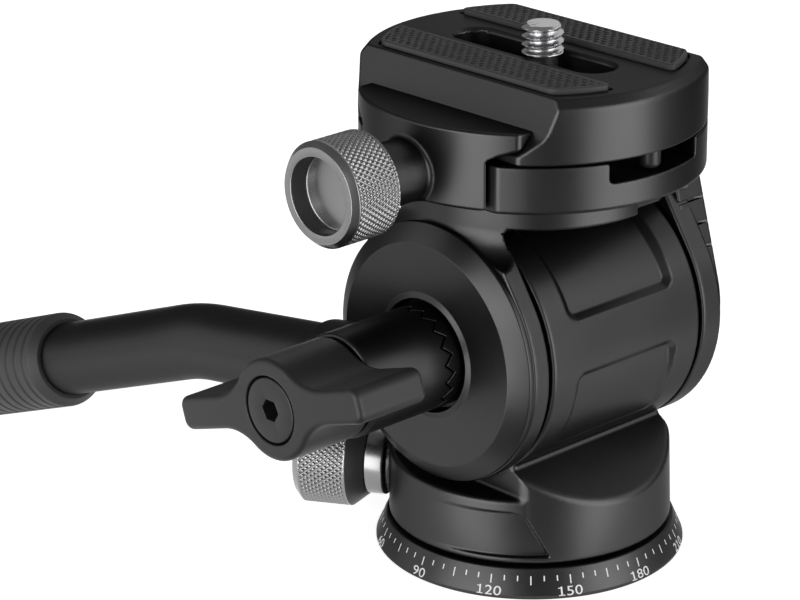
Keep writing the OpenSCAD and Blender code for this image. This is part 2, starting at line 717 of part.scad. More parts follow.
// Camera screw with a coin slot and a hexagon socket in its head.
module camera_screw() color(steel) translate([0, camera_screw_y, 0]) difference() {
    head_z = slider_z - slider_play;
    tip_z = plate_z1 + camera_screw_h;
    edge = 0.7;
    relief = 0.4;
    relief_z0 = slider_z + slider_t + 0.5;
    relief_z1 = plate_z1 + strip_proud + 0.2;
    rotate_extrude() polygon([[0, head_z - head_h], [head_r - 0.3, head_z - head_h],
        [head_r, head_z - head_h + 0.3], [head_r, head_z], [camera_screw_r, head_z],
        [camera_screw_r, relief_z0], [camera_screw_r - relief, relief_z0], [camera_screw_r - relief, relief_z1],
        [camera_screw_r, relief_z1], [camera_screw_r, tip_z - edge], [camera_screw_r - edge, tip_z], [0, tip_z]]);
    translate([0, 0, head_z - head_h - 1]) cylinder(r = 2.3, h = 3, $fn = 6);
    translate([0, 0, head_z - head_h]) cube([20, 1.2, 2.2], center = true);
}

// Moves its children onto the handle's tube: +Y is the first stretch, away from the tilt axis.
module at_handle() at_tilt() translate([-tube_x, 0, 0]) rotate([-tube_drop, 0, 0]) children();

// Moves its children to the tube's last stretch, whose start is the end of the bend.
module at_last() at_handle() translate([0, tube_first, -tube_bend_r]) rotate([-tube_bend, 0, 0])
    translate([0, 0, tube_bend_r]) children();

// Barrel of the handle: toothed end, bore for the bolt and socket for the tube.
module handle_barrel() color(black) difference() {
    union() {
        at_tilt() {
            translate([-barrel_x0, 0, 0]) tooth_ring(tooth_in, barrel_r);
            x_turned([[-barrel_x1, 0], [-barrel_x1, barrel_r - 0.4], [0.4 - barrel_x1, barrel_r],
                [-barrel_x0, barrel_r], [-barrel_x0, 0]]);
        }
        at_handle() rotate([-90, 0, 0]) cylinder(r = tube_r + 1, h = barrel_r + 2);
    }
    at_tilt() x_rod(bolt_r + 0.3, -barrel_x1 - 1, 0);
    at_handle() translate([0, barrel_r - 3, 0]) rotate([-90, 0, 0]) cylinder(r = tube_r, h = 20);
}

// Bent tube. The bend's ends sit inside the straight stretches, a little below their faces.
module handle_tube() color(black) {
    bore = tube_r - tube_wall;
    start = barrel_r - 3;
    under = 0.05;
    over = 1.4;
    at_handle() translate([0, start, 0]) rotate([-90, 0, 0]) washer(tube_r, bore, 0, tube_first - start);
    at_handle() translate([0, tube_first, -tube_bend_r]) rotate([0, -90, 0]) rotate([0, 0, -over])
        rotate_extrude(angle = tube_bend + 2 * over) translate([tube_bend_r, 0]) difference() {
            circle(r = tube_r - under);
            circle(r = bore + under);
        }
    at_last() rotate([-90, 0, 0]) washer(tube_r, bore, 0, tube_last);
}

// Rubber grip with bevelled ends, closed over the tube's end.
module handle_grip() color(rubber) at_last() translate([0, tube_last - grip_l + 2, 0]) rotate([-90, 0, 0])
    difference() {
        rotate_extrude() {
            edge = 1.6;
            polygon([[0, 0], [tube_r + 0.6, 0], [grip_r, edge], [grip_r, grip_l - edge],
                [grip_r - edge, grip_l], [0, grip_l]]);
        }
        translate([0, 0, -1]) cylinder(r = tube_r, h = grip_l - 1);
    }

// Front view of the two wings as one bar with round corners.
module wing_bar() {
    tip = 1.8;
    square([2 * (wing_reach - tip), 2 * wing_half], center = true);
    square([2 * wing_reach, 2 * (wing_half - tip)], center = true);
    for (y = [-1, 1], z = [-1, 1]) translate([y * (wing_reach - tip), z * (wing_half - tip)]) circle(r = tip);
}

// Front view of one hollow fillet between the hub and a wing.
module wing_fillet() {
    fillet = 9;
    cz = wing_half + fillet;
    cy = sqrt(pow(wing_hub_r + fillet, 2) - cz * cz);
    k = wing_hub_r / (wing_hub_r + fillet);
    difference() {
        polygon([[0, 0], [cy * k - crisp, cz * k - crisp], [cy, wing_half - crisp], [cy, 0]]);
        translate([cy, cz]) circle(r = fillet + crisp);
    }
}

// Wing knob that locks the handle and the tilt.
module wing_knob() color(black) at_tilt() difference() {
    union() {
        x_rod(wing_hub_r, -wing_x1, -wing_x0);
        x_slab(-wing_x1, -wing_x0) rotate(wing_lean) wing_bar();
        for (y = [0, 1], z = [0, 1]) x_slab(-wing_x1, -wing_x0) rotate(wing_lean)
            mirror([y, 0]) mirror([0, z]) wing_fillet();
    }
    x_rod(bolt_r, -wing_x1 - 1, 0);
    x_rod(cap_r, -wing_x1 - 1, cap_h - wing_x1);
}

// Cap bolt through the wing knob and the barrel, into the left trunnion.
module wing_bolt() color(dark) at_tilt() difference() {
    union() {
        x_rod(cap_r, 0.2 - wing_x1, cap_h - wing_x1);
        x_rod(bolt_r, cap_h - wing_x1 - 1, -bolt_grip);
    }
    translate([-wing_x1, 0, 0]) rotate([0, 90, 0]) cylinder(r = 1.8, h = 2.6, $fn = 6);
}

base_ring();
spindle();
pan_washers();
pan_body();
keeper();
keeper_screws();
tilt_bushes();
pan_shoe();
pan_lock_screw();
pan_lock_neck();
pan_lock_knob();
yoke();
left_disc();
rosette();
right_trunnion();
damper_rotor();
arm_cover();
tilt_dial();
clamp_base();
clamp_screws();
jaw();
jaw_rods();
clamp_knob();
clamp_screw();
qr_plate();
rubber_strips();
stop_pins();
screw_washer();
camera_screw();
handle_barrel();
handle_tube();
handle_grip();
wing_knob();
wing_bolt();
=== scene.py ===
import json
import math

import bmesh
import bpy
import numpy as np
from mathutils import Matrix, Vector


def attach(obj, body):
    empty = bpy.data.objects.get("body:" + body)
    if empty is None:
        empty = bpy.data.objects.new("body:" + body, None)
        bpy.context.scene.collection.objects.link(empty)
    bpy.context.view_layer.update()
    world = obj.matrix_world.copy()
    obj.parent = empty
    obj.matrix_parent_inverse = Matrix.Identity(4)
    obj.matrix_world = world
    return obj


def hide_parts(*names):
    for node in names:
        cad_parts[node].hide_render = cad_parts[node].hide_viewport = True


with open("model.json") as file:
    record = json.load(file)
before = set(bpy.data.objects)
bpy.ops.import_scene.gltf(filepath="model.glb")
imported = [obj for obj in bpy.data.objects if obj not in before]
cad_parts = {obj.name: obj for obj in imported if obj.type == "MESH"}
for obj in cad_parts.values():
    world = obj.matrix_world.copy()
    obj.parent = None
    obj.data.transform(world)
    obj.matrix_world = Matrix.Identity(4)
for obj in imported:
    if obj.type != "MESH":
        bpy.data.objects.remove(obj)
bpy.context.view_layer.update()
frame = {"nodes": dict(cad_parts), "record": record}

# Fluid video head, dressed for the photograph's view. Sizes are in millimetres, in the part's own frame:
# +Z up along the pan axis, X along the tilt axis with the handle at -X, -Y toward the lens.

MM = 0.001

# Pan base and drum
BASE_R, BASE_TOP_R, BASE_H, BASE_FOOT, BASE_BORE = 24.1, 22.4, 4.5, 0.7, 7.05
PAN_R, PAN_Z0, LIP_Z = 21.9, 4.8, 15.2
SHOULDER_Z, SHOULDER_SLOPE = 13.9, math.radians(32.5)
WEB_HALF = 16.2
TILT_Z, DRUM_R, DRUM_HALF = 36.5, 20.4, 16.0
LOCK_Z, LOCK_ANGLE = 10.4, math.radians(122)

# Yoke
ARM_IN, ARM_LEFT, ARM_RIGHT, CHEEK_R = 16.8, 20.0, 20.9, 20.4
BRIDGE_R, BRIDGE_Z, CLAMP_Z = 20.0, 57.5, 62.0
DISC_FACE, DISC_FACE_R, DISC_R, WELL_R, WELL_X = 22.6, 17.3, 20.16, 8.75, 20.6
HUB_R, HUB_X, HUB_BORE, HUB_BORE_X = 8.0, 7.6, 3.1, 10
COVER_R, COVER_X0, COVER_X1 = 17.6, 18.4, 24.1
DRAG_R, DRAG_X0, DRAG_X1, DRAG_DISH_R, DRAG_DISH_X = 10.0, 24.4, 28.6, 7.4, 27.8

# Clamp and plate
PLATFORM_R, FLOOR_Z, JAW_TOP = 26.2, 69.2, 74.2
BASE_END, JAW_END, LIP_HALF = 21.9, 22.6, 16.85
SCREW_Z, BOSS_R, BOSS_END = 66.5, 4.8, 34.3
PLATE_Z0, PLATE_Z1 = 69.4, 79.2
DOVETAIL, FLANK_Z, NECK = 20.2, 70.7, 17.3
DOVETAIL_PLAY, ROD_Y, ROD_BORE = 0.05, 7.0, 1.8
SLOT_HALF, SLOT_REACH = 3.3, 15.4
STRIP_IN, STRIP_OUT, STRIP_R, STRIP_TOP = 6.5, 14.4, 23.0, 80.0
PIN_R, PIN_Y, PIN_TIP = 1.6, 23.8, 66.5
SCREW_R, SCREW_Y, SCREW_TIP, THREAD_Z = 3.175, -2.0, 83.75, 79.3
HEAD_R, HEAD_Z0, HEAD_Z1, RELIEF_Z, RELIEF_DEEP = 5.6, 71.2, 73.8, 75.4, 0.9

# Knobs and handle
KNOB_R, KNOB_BORE, KNOB_X0, KNOB_X1, KNOB_CHAMFER = 7.9, 2.1, 34.6, 43.5, 0.9
KNOB_CUP_R, KNOB_CUP, KNOB_FACE_R = 5.75, 3, 7.1
NECK_S0, COLLAR_S0, GRIP_S0, LOCK_END, LOCK_CHAMFER = 22.5, 25.5, 28.0, 36.8, 1.2
LOCK_NECK_R, LOCK_COLLAR_R, LOCK_CUP_R, LOCK_CUP, LOCK_WEB = 5.6, 5.8, 5.6, 2.8, 4
ROOT_X, TOOTH_H, TOOTH_GAP, TEETH = 24.1, 1.6, 0.22, 18
BARREL_R, BARREL_X1, TUBE_R, TUBE_X = 8.0, 40.25, 5.95, 32.65
TUBE_DROP, TUBE_BEND = math.radians(8.5), math.radians(12.3)
TUBE_FIRST, TUBE_BEND_R, TUBE_LAST = 36.0, 40.0, 55.0
GRIP_R, GRIP_L = 7.8, 25.0
WING_X0, WING_X1, WING_HUB, WING_HALF, WING_REACH = 40.55, 53.4, 7.7, 2.6, 20.4
WING_LEAN, WING_SHIFT = math.radians(-18), 0.6
CAP_R, CAP_X0, BOLT_R, BOLT_X, BOLT_PLAY = 4.9, 49.6, 3.0, 11, 0.3
SOCKET_R, SOCKET_DEEP = 1.5, 2.5

# Camera: its turn about the part, and pixel places in the photograph's 800 by 600
AZIMUTH, ELEVATION, ROLL = math.radians(-43.296), math.radians(20.765), math.radians(-0.414)
FOCAL_PX, IMAGE = 3205.105, (800, 600)
AIM, AIM_PX, AIM_DEPTH = Vector((0, 0, 40)), (531.099, 295.611), 491.243

# Floor and lamps, in metres. The floor's white part, a painted pool of light that also glows, runs just past
# the picture on each side.
POOL_LEFT, POOL_RIGHT, POOL_FRONT, POOL_BACK = -0.15, 0.095, -0.026, 0.36
SIDE_FALL, BACK_FALL, FRONT_FALL = 0.06, 0.06, 0.012
FLOOR_Z_GAP, LAMP_AIM_Z, WORLD_LEVEL = 0.00005, 0.04, 0.18


# Distance formulas: a solid is where its formula is below 0, and each joins its parts with a round edge.

def both(a, b, r=0.0):
    """Where two solids overlap, with the outer edge rounded to radius r."""
    return np.minimum(np.maximum(a, b), -r) + np.hypot(np.maximum(a + r, 0), np.maximum(b + r, 0))


def join(a, b, r=0.0):
    """Two solids as one, with a fillet of radius r between them."""
    return np.maximum(np.minimum(a, b), r) - np.hypot(np.maximum(r - a, 0), np.maximum(r - b, 0))


def cut(a, b, r=0.0):
    """The first solid less the second, with the edge rounded to radius r."""
    return both(a, -b, r)


def span(v, low, high):
    return np.maximum(low - v, v - high)


def pan_form(x, y, z):
    """Pan body: round wall with side lips and sloped shoulders, and the tilt drum with its pockets."""
    foot_r, draft, web_play = PAN_R + 0.15, 0.03, 0.5
    bush_r, chamber_r = 9.5, 14.0
    keeper_r, keeper_top, flange_r, flange_top = 15.5, 8.2, 12.2, 15.2
    reach, height, wide = np.hypot(x, y), z - TILT_Z, np.abs(x)
    wall = reach - (foot_r - draft * (z - PAN_Z0))
    ramp = ((z - SHOULDER_Z) * math.cos(SHOULDER_SLOPE)
            - (PAN_R - web_play - np.abs(y)) * math.sin(SHOULDER_SLOPE))
    lips = np.maximum(z - LIP_Z, WEB_HALF - web_play - wide)
    roof = join(both(wide - WEB_HALF, ramp, 0.5), lips, 0.5)
    lower = both(both(wall, PAN_Z0 - z, 0.8), roof, 0.7)
    lower = cut(lower, wall_panel(x, y, z), 0.32)
    turn = np.hypot(y, height)
    drum = both(turn - DRUM_R, wide - DRUM_HALF, 0.5)
    depth = DRUM_R - turn
    upper = drum_pocket(wide, -y, height, depth, half_wide=11.4, middle=90.0, half_angle=69.5)
    lower_pocket = drum_pocket(wide, np.abs(y), height, depth, half_wide=11.0, middle=-21.7, half_angle=20.2,
                               rise=0.05)
    drum = cut(cut(drum, upper, 0.08), lower_pocket, 0.08)
    body = join(lower, drum, 0.9)
    body = join(body, lock_boss(x, y, z), 0.4)
    body = cut(body, both(turn - bush_r, span(x, -17, 0)), 0.3)
    body = cut(body, both(turn - chamber_r, span(x, -9, 17)), 0.3)
    body = cut(body, both(reach - keeper_r, z - keeper_top))
    return cut(body, both(reach - flange_r, z - flange_top))


def drum_pocket(wide, away, height, depth, half_wide, middle, half_angle, rise=0.0):
    """Pocket around the drum with sloped sides, whose floor may rise along it; angles are in degrees."""
    deep, corner, slope, to_distance = 0.85, 2.2, 1.43, 0.573
    along = DRUM_R * (np.arctan2(height, away) - math.radians(middle))
    end = DRUM_R * math.radians(half_angle)
    outline = both(wide - half_wide, np.abs(along) - end, corner)
    floor_depth = deep - rise * (end - along)
    return both((outline + slope * depth) * to_distance, depth - floor_depth, 0.08)


def wall_panel(x, y, z):
    """Shallow panel in the left front of the pan wall, deeper toward its slanted end."""
    low, high, deep, proud, corner = 6.0, 13.2, 1.4, 0.2, 1.6
    end_angle, end_z, slant = math.radians(-136.4), 11.8, math.radians(30)
    around = PAN_R * (np.arctan2(y, x) - end_angle)
    end = around * math.cos(slant) + (z - end_z) * math.sin(slant)
    outline = both(both(end, z - high, corner), low - z, 0.3)
    return both(outline, PAN_R + proud - np.hypot(x, y - deep), 0.3)


def lock_boss(x, y, z):
    """Round boss that the pan lock's screw passes through."""
    boss_r, root, face = 5.3, 17, 22.2
    out = x * math.cos(LOCK_ANGLE) + y * math.sin(LOCK_ANGLE)
    side = y * math.cos(LOCK_ANGLE) - x * math.sin(LOCK_ANGLE)
    return both(np.hypot(side, z - LOCK_Z) - boss_r, span(out, root, face), 0.4)


def yoke_form(x, y, z):
    """Yoke: round bridge under the clamp, and two round cheeks that taper up into its flared neck."""
    taper, left_flare, right_flare = math.radians(33), 5.0, 3.0
    neck_out, neck_x, neck_run = 3.5, 12, 4
    flat_x, flat_y, flat_drop = 2.1, -17.9, 1
    reach, height = np.hypot(x, y), z - TILT_Z
    flare = np.where(x > 0, right_flare, left_flare)
    neck = BRIDGE_R + neck_out * np.clip((x - neck_x) / neck_run, 0, 1)
    blank = flare - np.hypot(np.maximum(neck + flare - reach, 0), np.minimum(z - BRIDGE_Z, 0))
    side = np.abs(y) * math.cos(taper) + height * math.sin(taper) - CHEEK_R
    cheek = np.minimum(np.hypot(y, height) - CHEEK_R, np.maximum(side, CHEEK_R * math.sin(taper) - height))
    left = both(cheek, span(x, -ARM_LEFT, -ARM_IN), 0.4)
    right = both(cheek, span(x, ARM_IN, ARM_RIGHT), 0.4)
    bridge = BRIDGE_Z - z
    body = both(join(bridge, np.minimum(left, right), 1.2), blank, 0.3)
    body = both(body, z - CLAMP_Z, 0.2)
    flat = np.maximum(np.maximum(span(x, flat_x, ARM_IN), y - flat_y), BRIDGE_Z - flat_drop - z)
    return cut(body, flat, 0.15)


def cover_form(x, y, z):
    """Cover on the right arm: round below, tapered to the clamp, three grooves that run out at its face."""
    lean, top, bore_r, bore_x = math.radians(15.5), 24.9, 3.4, 20.0
    groove_half, groove_deep, run_out, rim, least = 0.24, 0.55, 1.6, 0.1, 0.05
    height = z - TILT_Z
    taper = np.abs(y) * math.cos(lean) + height * math.sin(lean) - COVER_R
    outline = np.minimum(np.hypot(y, height) - COVER_R, np.maximum(taper, COVER_R * math.sin(lean) - height))
    outline = both(outline, height - top, 1.5)
    body = both(outline, span(x, COVER_X0, COVER_X1), 0.35)
    deep = groove_deep * np.clip((COVER_X1 - rim - x) / run_out, least, 1)
    for at in (9.9, 13.5, 17.2):
        groove = both(np.abs(height - at) - groove_half, -deep - outline, 0.08)
        body = cut(body, groove, 0.12)
    return cut(body, both(np.hypot(y, height) - bore_r, bore_x - x))


def clamp_form(x, y, z):
    """Clamp body: round platform, channel with the fixed jaw at +X, front and rear windows."""
    window_half, window_z, window_y = 9.1, 66.1, 17.0
    bevel_y, bevel_angle = 14.4, math.atan2(0.9, 1.25)
    rod_end, screw_bore, screw_end = -13.5, 2.3, -8.5
    reach, wide = np.hypot(x, y), np.abs(y)
    body = both(both(reach - PLATFORM_R, CLAMP_Z - z, 0.7), z - JAW_TOP, 0.5)
    slope = (x - DOVETAIL - DOVETAIL_PLAY + z - FLANK_Z) * math.sqrt(0.5)
    channel = np.maximum(np.maximum(FLOOR_Z - z, x - DOVETAIL - DOVETAIL_PLAY),
                         np.minimum(slope, x - NECK - DOVETAIL_PLAY))
    body = cut(body, channel, 0.3)
    bevel = (wide - bevel_y) * math.sin(bevel_angle) - (x + BASE_END) * math.cos(bevel_angle)
    body = both(both(body, -BASE_END - x, 0.25), bevel, 0.2)
    window = both(both(np.abs(x) - window_half, window_z - z, 0.7), window_y - wide, 0.3)
    body = cut(body, window, 0.3)
    body = cut(body, np.maximum(np.hypot(wide - ROD_Y, z - SCREW_Z) - ROD_BORE, x - rod_end))
    return cut(body, np.maximum(np.hypot(y, z - SCREW_Z) - screw_bore, x - screw_end))


def jaw_form(x, y, z):
    """Moving jaw: outer wall, lip over the plate's dovetail, and the boss that the knob bears on."""
    flank_run, flank_rise, screw_bore = 2.7, 3.1, 2.4
    arch_y, arch_rise, arch_to_distance = 13.7, 0.4, 0.93
    foot_play, wall_drop, rod_end = 0.25, 1, 1.0
    reach, wide = np.hypot(x, y), np.abs(y)
    flank_x, flank_z = DOVETAIL + DOVETAIL_PLAY, FLANK_Z + 0.2
    flank = ((x + flank_x) * flank_run - (z - flank_z) * flank_rise) / math.hypot(flank_run, flank_rise)
    under = (FLANK_Z - 0.3 + arch_rise * np.maximum(wide - arch_y, 0) - z) * arch_to_distance
    lip = both(np.maximum(flank, x + NECK - 0.15), under, 0.3)
    wall = np.maximum(x + JAW_END, z - JAW_TOP + wall_drop)
    blank = both(both(reach - PLATFORM_R, CLAMP_Z + foot_play - z, 0.6), z - JAW_TOP, 0.5)
    body = both(both(join(wall, lip, 0.9), blank, 0.4), wide - LIP_HALF, 0.4)
    boss = both(np.hypot(y, z - SCREW_Z) - BOSS_R, span(x, -BOSS_END, -JAW_END - 0.5), 0.35)
    body = join(body, boss, 0.7)
    body = cut(body, np.maximum(np.hypot(wide - ROD_Y, z - SCREW_Z) - ROD_BORE, -x - JAW_END - rod_end))
    return cut(body, np.hypot(y, z - SCREW_Z) - screw_bore, 0.2)


def plate_form(x, y, z):
    """Sliding plate: dovetail sides, round bevelled ends, camera slot, seats for the strips, well below."""
    lean_run, lean_rise, flank_h = 1.6, 5.2, 2.9
    bevel_run, bevel_rise = 1.2, 1.5
    slot_bevel, seat_play, seat_deep = 0.5, 0.3, 0.5
    well_half, well_reach, well_roof = 6.3, 18.0, 4.2
    reach, wide = np.hypot(x, y), np.abs(x)
    foot = both(wide - DOVETAIL, (wide - DOVETAIL + z - FLANK_Z) * math.sqrt(0.5), 0.2)
    side = ((wide - NECK) * lean_rise + (z - FLANK_Z - flank_h) * lean_run) / math.hypot(lean_rise, lean_run)
    body = both(both(join(foot, side, 0.4), PLATE_Z0 - z, 0.25), z - PLATE_Z1, 0.35)
    bevel = (reach - PLATFORM_R) * bevel_rise + (z - PLATE_Z1 + bevel_rise) * bevel_run
    bevel = bevel / math.hypot(bevel_rise, bevel_run)
    body = both(both(body, reach - PLATFORM_R, 0.3), bevel, 0.25)
    slot = np.hypot(x, np.maximum(np.abs(y) - SLOT_REACH + SLOT_HALF, 0)) - SLOT_HALF
    rim = (slot + PLATE_Z1 - z - slot_bevel) * math.sqrt(0.5)
    body = cut(body, np.minimum(slot, rim), 0.12)
    seat = both(span(wide, STRIP_IN - seat_play, STRIP_OUT + seat_play), reach - STRIP_R - seat_play, 0.8)
    body = cut(body, both(seat, PLATE_Z1 - seat_deep - z), 0.15)
    well = np.maximum(np.maximum(wide - well_half, np.abs(y) - well_reach), z - PLATE_Z1 + well_roof)
    return cut(body, well, 0.2)


def wing_form(x, y, z):
    """Wing knob: hub with two wings on wide fillets, front edges rounded, seat for the cap bolt."""
    fillet, seat_deep = 9.0, 4.2
    height = z - TILT_Z
    turn = np.hypot(y, height)
    along = y * math.cos(WING_LEAN) + height * math.sin(WING_LEAN)
    across = np.abs(height * math.cos(WING_LEAN) - y * math.sin(WING_LEAN))
    wings = both(np.abs(along - WING_SHIFT) - WING_REACH, across - WING_HALF, 1.6)
    along = np.abs(along)
    middle_z = WING_HALF + fillet
    middle_y = math.sqrt((WING_HUB + fillet) ** 2 - middle_z ** 2)
    hollow = (along < middle_y) & (across * middle_y < along * middle_z)
    outline = np.where(hollow, fillet - np.hypot(along - middle_y, across - middle_z),
                       np.minimum(turn - WING_HUB, wings))
    body = both(outline, span(x, -WING_X1, -WING_X0), 0.9)
    body = cut(body, both(turn - CAP_R - BOLT_PLAY, x + WING_X1 - seat_deep), 0.2)
    return cut(body, turn - BOLT_R - BOLT_PLAY)


def tooth_face(x, y, z):
    """Zigzag face of the rosette's radial teeth, as the height of a point above it toward -X."""
    to_distance = 0.7
    height = z - TILT_Z
    around = np.arctan2(height, y) * TEETH / (2 * math.pi)
    wave = 1 - 2 * np.abs(around - np.floor(around) - 0.5)
    return (-ROOT_X - TOOTH_H * np.hypot(y, height) / BARREL_R * wave - x) * to_distance


def rosette_form(x, y, z):
    """Rosette in the disc's well: round boss with radial teeth on its face and a bore for the bolt."""
    bore_r = 3.6
    turn = np.hypot(y, z - TILT_Z)
    body = both(both(turn - BARREL_R, tooth_face(x, y, z), 0.12), x + WELL_X, 0.1)
    return cut(body, turn - bore_r)


def barrel_form(x, y, z):
    """Barrel of the handle: toothed end, collar for the tube, bore for the bolt."""
    collar_wall, collar_out, collar_clear = 0.9, 2, 1.9
    tube_play, tube_seat = 0.12, 5.2
    height = z - TILT_Z
    turn = np.hypot(y, height)
    away = y * math.cos(TUBE_DROP) - height * math.sin(TUBE_DROP)
    side = np.hypot(x + TUBE_X, height * math.cos(TUBE_DROP) + y * math.sin(TUBE_DROP))
    teeth = -tooth_face(x, y, z) + TOOTH_GAP
    body = both(both(turn - BARREL_R, -BARREL_X1 - x, 0.5), teeth, 0.12)
    collar = both(side - TUBE_R - collar_wall, span(away, 0, BARREL_R + collar_out), 0.4)
    body = join(body, np.maximum(collar, x + ROOT_X + collar_clear), 0.5)
    body = cut(body, both(side - TUBE_R - tube_play, tube_seat - away))
    return cut(body, turn - BOLT_R - BOLT_PLAY)


# Mesh making

def finish_mesh(name, mesh, node, body, finish, sharp=None):
    """Makes the piece's object, which stands for a CAD node and rides on its body."""
    piece = bpy.data.objects.new(name, mesh)
    bpy.context.collection.objects.link(piece)
    mesh.shade_smooth()
    if sharp is not None:
        mesh.set_sharp_from_angle(angle=math.radians(sharp))
    mesh.materials.append(finishes[finish])
    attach(piece, body)
    if node:
        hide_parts(node)
    return piece


def slopes(form, p, step):
    """Value and gradient of a distance formula at points."""
    grad = np.empty_like(p)
    for axis in range(3):
        shift = np.zeros(3)
        shift[axis] = step
        grad[:, axis] = (form(*(p + shift).T) - form(*(p - shift).T)) / (2 * step)
    return form(*p.T), grad


def grid_lines(low, high, cell, fine=None):
    """Grid lines along one axis, closer together between the two places that fine gives with their step."""
    if not fine:
        return np.arange(low - 1.37 * cell, high + 1.5 * cell, cell)
    start, stop, step = fine
    below = np.arange(start - cell, low - 1.6 * cell, -cell)[::-1]
    above = np.arange(stop + step, high + 1.6 * cell, cell)
    return np.concatenate((below, np.arange(start, stop, step), above))


CORNERS = [(i, j, k) for i in (0, 1) for j in (0, 1) for k in (0, 1)]


def cell_points(grid, cells, axes):
    """For each cell, the middle of the places where the surface crosses its edges."""
    total, hits = np.zeros((len(cells), 3)), np.zeros((len(cells), 1))
    for start in CORNERS:
        for axis in range(3):
            if start[axis]:
                continue
            stop = [v + (i == axis) for i, v in enumerate(start)]
            a = grid[tuple((cells + start).T)]
            b = grid[tuple((cells + stop).T)]
            crossed = ((a < 0) != (b < 0))[:, None]
            share = np.where(crossed[:, 0], a / np.where(a == b, 1, a - b), 0)[:, None]
            total += crossed * (np.array(start) + share * (np.array(stop) - start))
            hits += crossed
    spot = cells + total / hits
    return np.stack([np.interp(spot[:, i], np.arange(len(axes[i])), axes[i]) for i in range(3)], 1)


def surface_faces(inside, number):
    """A face across each grid edge that the surface crosses, turned outward."""
    n = np.array(inside.shape) - 1
    faces = []
    for axis in range(3):
        u, v = (axis + 1) % 3, (axis + 2) % 3
        first, second = [slice(None)] * 3, [slice(None)] * 3
        first[axis], second[axis] = slice(0, -1), slice(1, None)
        a, b = inside[tuple(first)], inside[tuple(second)]
        at = np.argwhere(a != b)
        at = at[(at[:, u] > 0) & (at[:, v] > 0) & (at[:, u] < n[u]) & (at[:, v] < n[v])]
        outward = a[tuple(at.T)]
        ring = []
        for du, dv in ((1, 1), (0, 1), (0, 0), (1, 0)):
            near = at.copy()
            near[:, u] -= du
            near[:, v] -= dv
            ring.append(number[tuple(near.T)])
        quad = np.stack(ring, 1)
        faces.append(np.where(outward[:, None], quad, quad[:, ::-1]))
    return np.concatenate(faces)


def skinned(name, form, low, high, cell, node, body, finish, fine=(None, None, None)):
    """Piece on the surface of a distance formula: one point in each grid cell that the surface crosses."""
    rounds, most_step, slope_step, normal_step = 3, 0.45 * cell, 0.02, 0.03
    axes = [grid_lines(a, b, cell, f) for a, b, f in zip(low, high, fine)]
    grid = form(*np.meshgrid(*axes, indexing="ij", sparse=True))
    grid = np.broadcast_to(grid, [len(a) for a in axes])
    inside = grid < 0
    n = np.array(inside.shape) - 1
    count = sum(inside[i:i + n[0], j:j + n[1], k:k + n[2]].astype(np.int8) for i, j, k in CORNERS)
    cells = np.argwhere((count > 0) & (count < 8))
    number = np.full(count.shape, -1, dtype=np.int64)
    number[tuple(cells.T)] = np.arange(len(cells))
    points = cell_points(grid, cells, axes)
    for _ in range(rounds):
        value, grad = slopes(form, points, slope_step)
        step = grad * (value / np.maximum((grad ** 2).sum(1), 0.2))[:, None]
        reach = np.maximum(np.linalg.norm(step, axis=1, keepdims=True) / most_step, 1)
        points = points - step / reach
    mesh = bpy.data.meshes.new(name)
    mesh.from_pydata((points * MM).tolist(), [], surface_faces(inside, number).tolist())
    piece = finish_mesh(name, mesh, node, body, finish)
    grad = slopes(form, points, normal_step)[1]
    normals = grad / np.linalg.norm(grad, axis=1, keepdims=True)
    mesh.normals_split_custom_set_from_vertices(normals.tolist())
    return piece


def rounded(outline, steps=5):
    """Points of an outline whose corners, given as (along, radius, round), are arcs of that radius."""
    points = []
    for i, (a, r, bend) in enumerate(outline):
        here = Vector((a, r))
        if bend == 0 or i in (0, len(outline) - 1):
            points.append(here)
            continue
        back = (Vector(outline[i - 1][:2]) - here).normalized()
        ahead = (Vector(outline[i + 1][:2]) - here).normalized()
        half = back.angle(ahead) / 2
        middle = here + (back + ahead).normalized() * bend / math.sin(half)
        start = here + back * bend / math.tan(half) - middle
        sweep = start.angle_signed(here + ahead * bend / math.tan(half) - middle)
        for k in range(steps + 1):
            points.append(middle + Matrix.Rotation(-sweep * k / steps, 2) @ start)
    return points


def lathe(outline, steps, closed=False):
    """Bmesh in millimetres of an outline of (along, radius) points spun about the z axis."""
    bm = bmesh.new()
    rim = [bm.verts.new((p.y, 0, p.x)) for p in outline]
    for a, b in zip(rim, rim[1:] + rim[:1] if closed else rim[1:]):
        bm.edges.new((a, b))
    bmesh.ops.spin(bm, geom=bm.verts[:] + bm.edges[:], cent=(0, 0, 0), axis=(0, 0, 1), angle=2 * math.pi,
                   steps=steps, use_merge=True)
    bmesh.ops.remove_doubles(bm, verts=bm.verts, dist=1e-4)
    return bm


def turned(name, outline, place, node, body, finish, steps=160, surface=None, closed=False, sharp=38):
    """Piece turned on a lathe: an outline of (along, radius, round) spun about its axis, then placed.

    surface(along, radius, angle) gives the radius where a knurl or thread is cut in it.
    """
    points = outline if isinstance(outline[0], Vector) else rounded(outline)
    bm = lathe(points, steps, closed)
    if surface:
        for v in bm.verts:
            r = math.hypot(v.co.x, v.co.y)
            if r > 1e-6:
                scale = surface(v.co.z, r, math.atan2(v.co.y, v.co.x)) / r
                v.co.x, v.co.y = v.co.x * scale, v.co.y * scale
    bmesh.ops.recalc_face_normals(bm, faces=bm.faces)
    return placed(name, bm, place, node, body, finish, sharp)


def merge(whole, part):
    """Adds one bmesh to another and frees it."""
    mesh = bpy.data.meshes.new("part")
    part.to_mesh(mesh)
    part.free()
    whole.from_mesh(mesh)
    bpy.data.meshes.remove(mesh)


def placed(name, bm, place, node, body, finish, sharp=38):
    """Piece from a bmesh in millimetres, moved to its place."""
    bmesh.ops.transform(bm, verts=bm.verts, matrix=Matrix.Scale(MM, 4) @ place)
    mesh = bpy.data.meshes.new(name)
    bm.to_mesh(mesh)
    bm.free()
    return finish_mesh(name, mesh, node, body, finish, sharp)


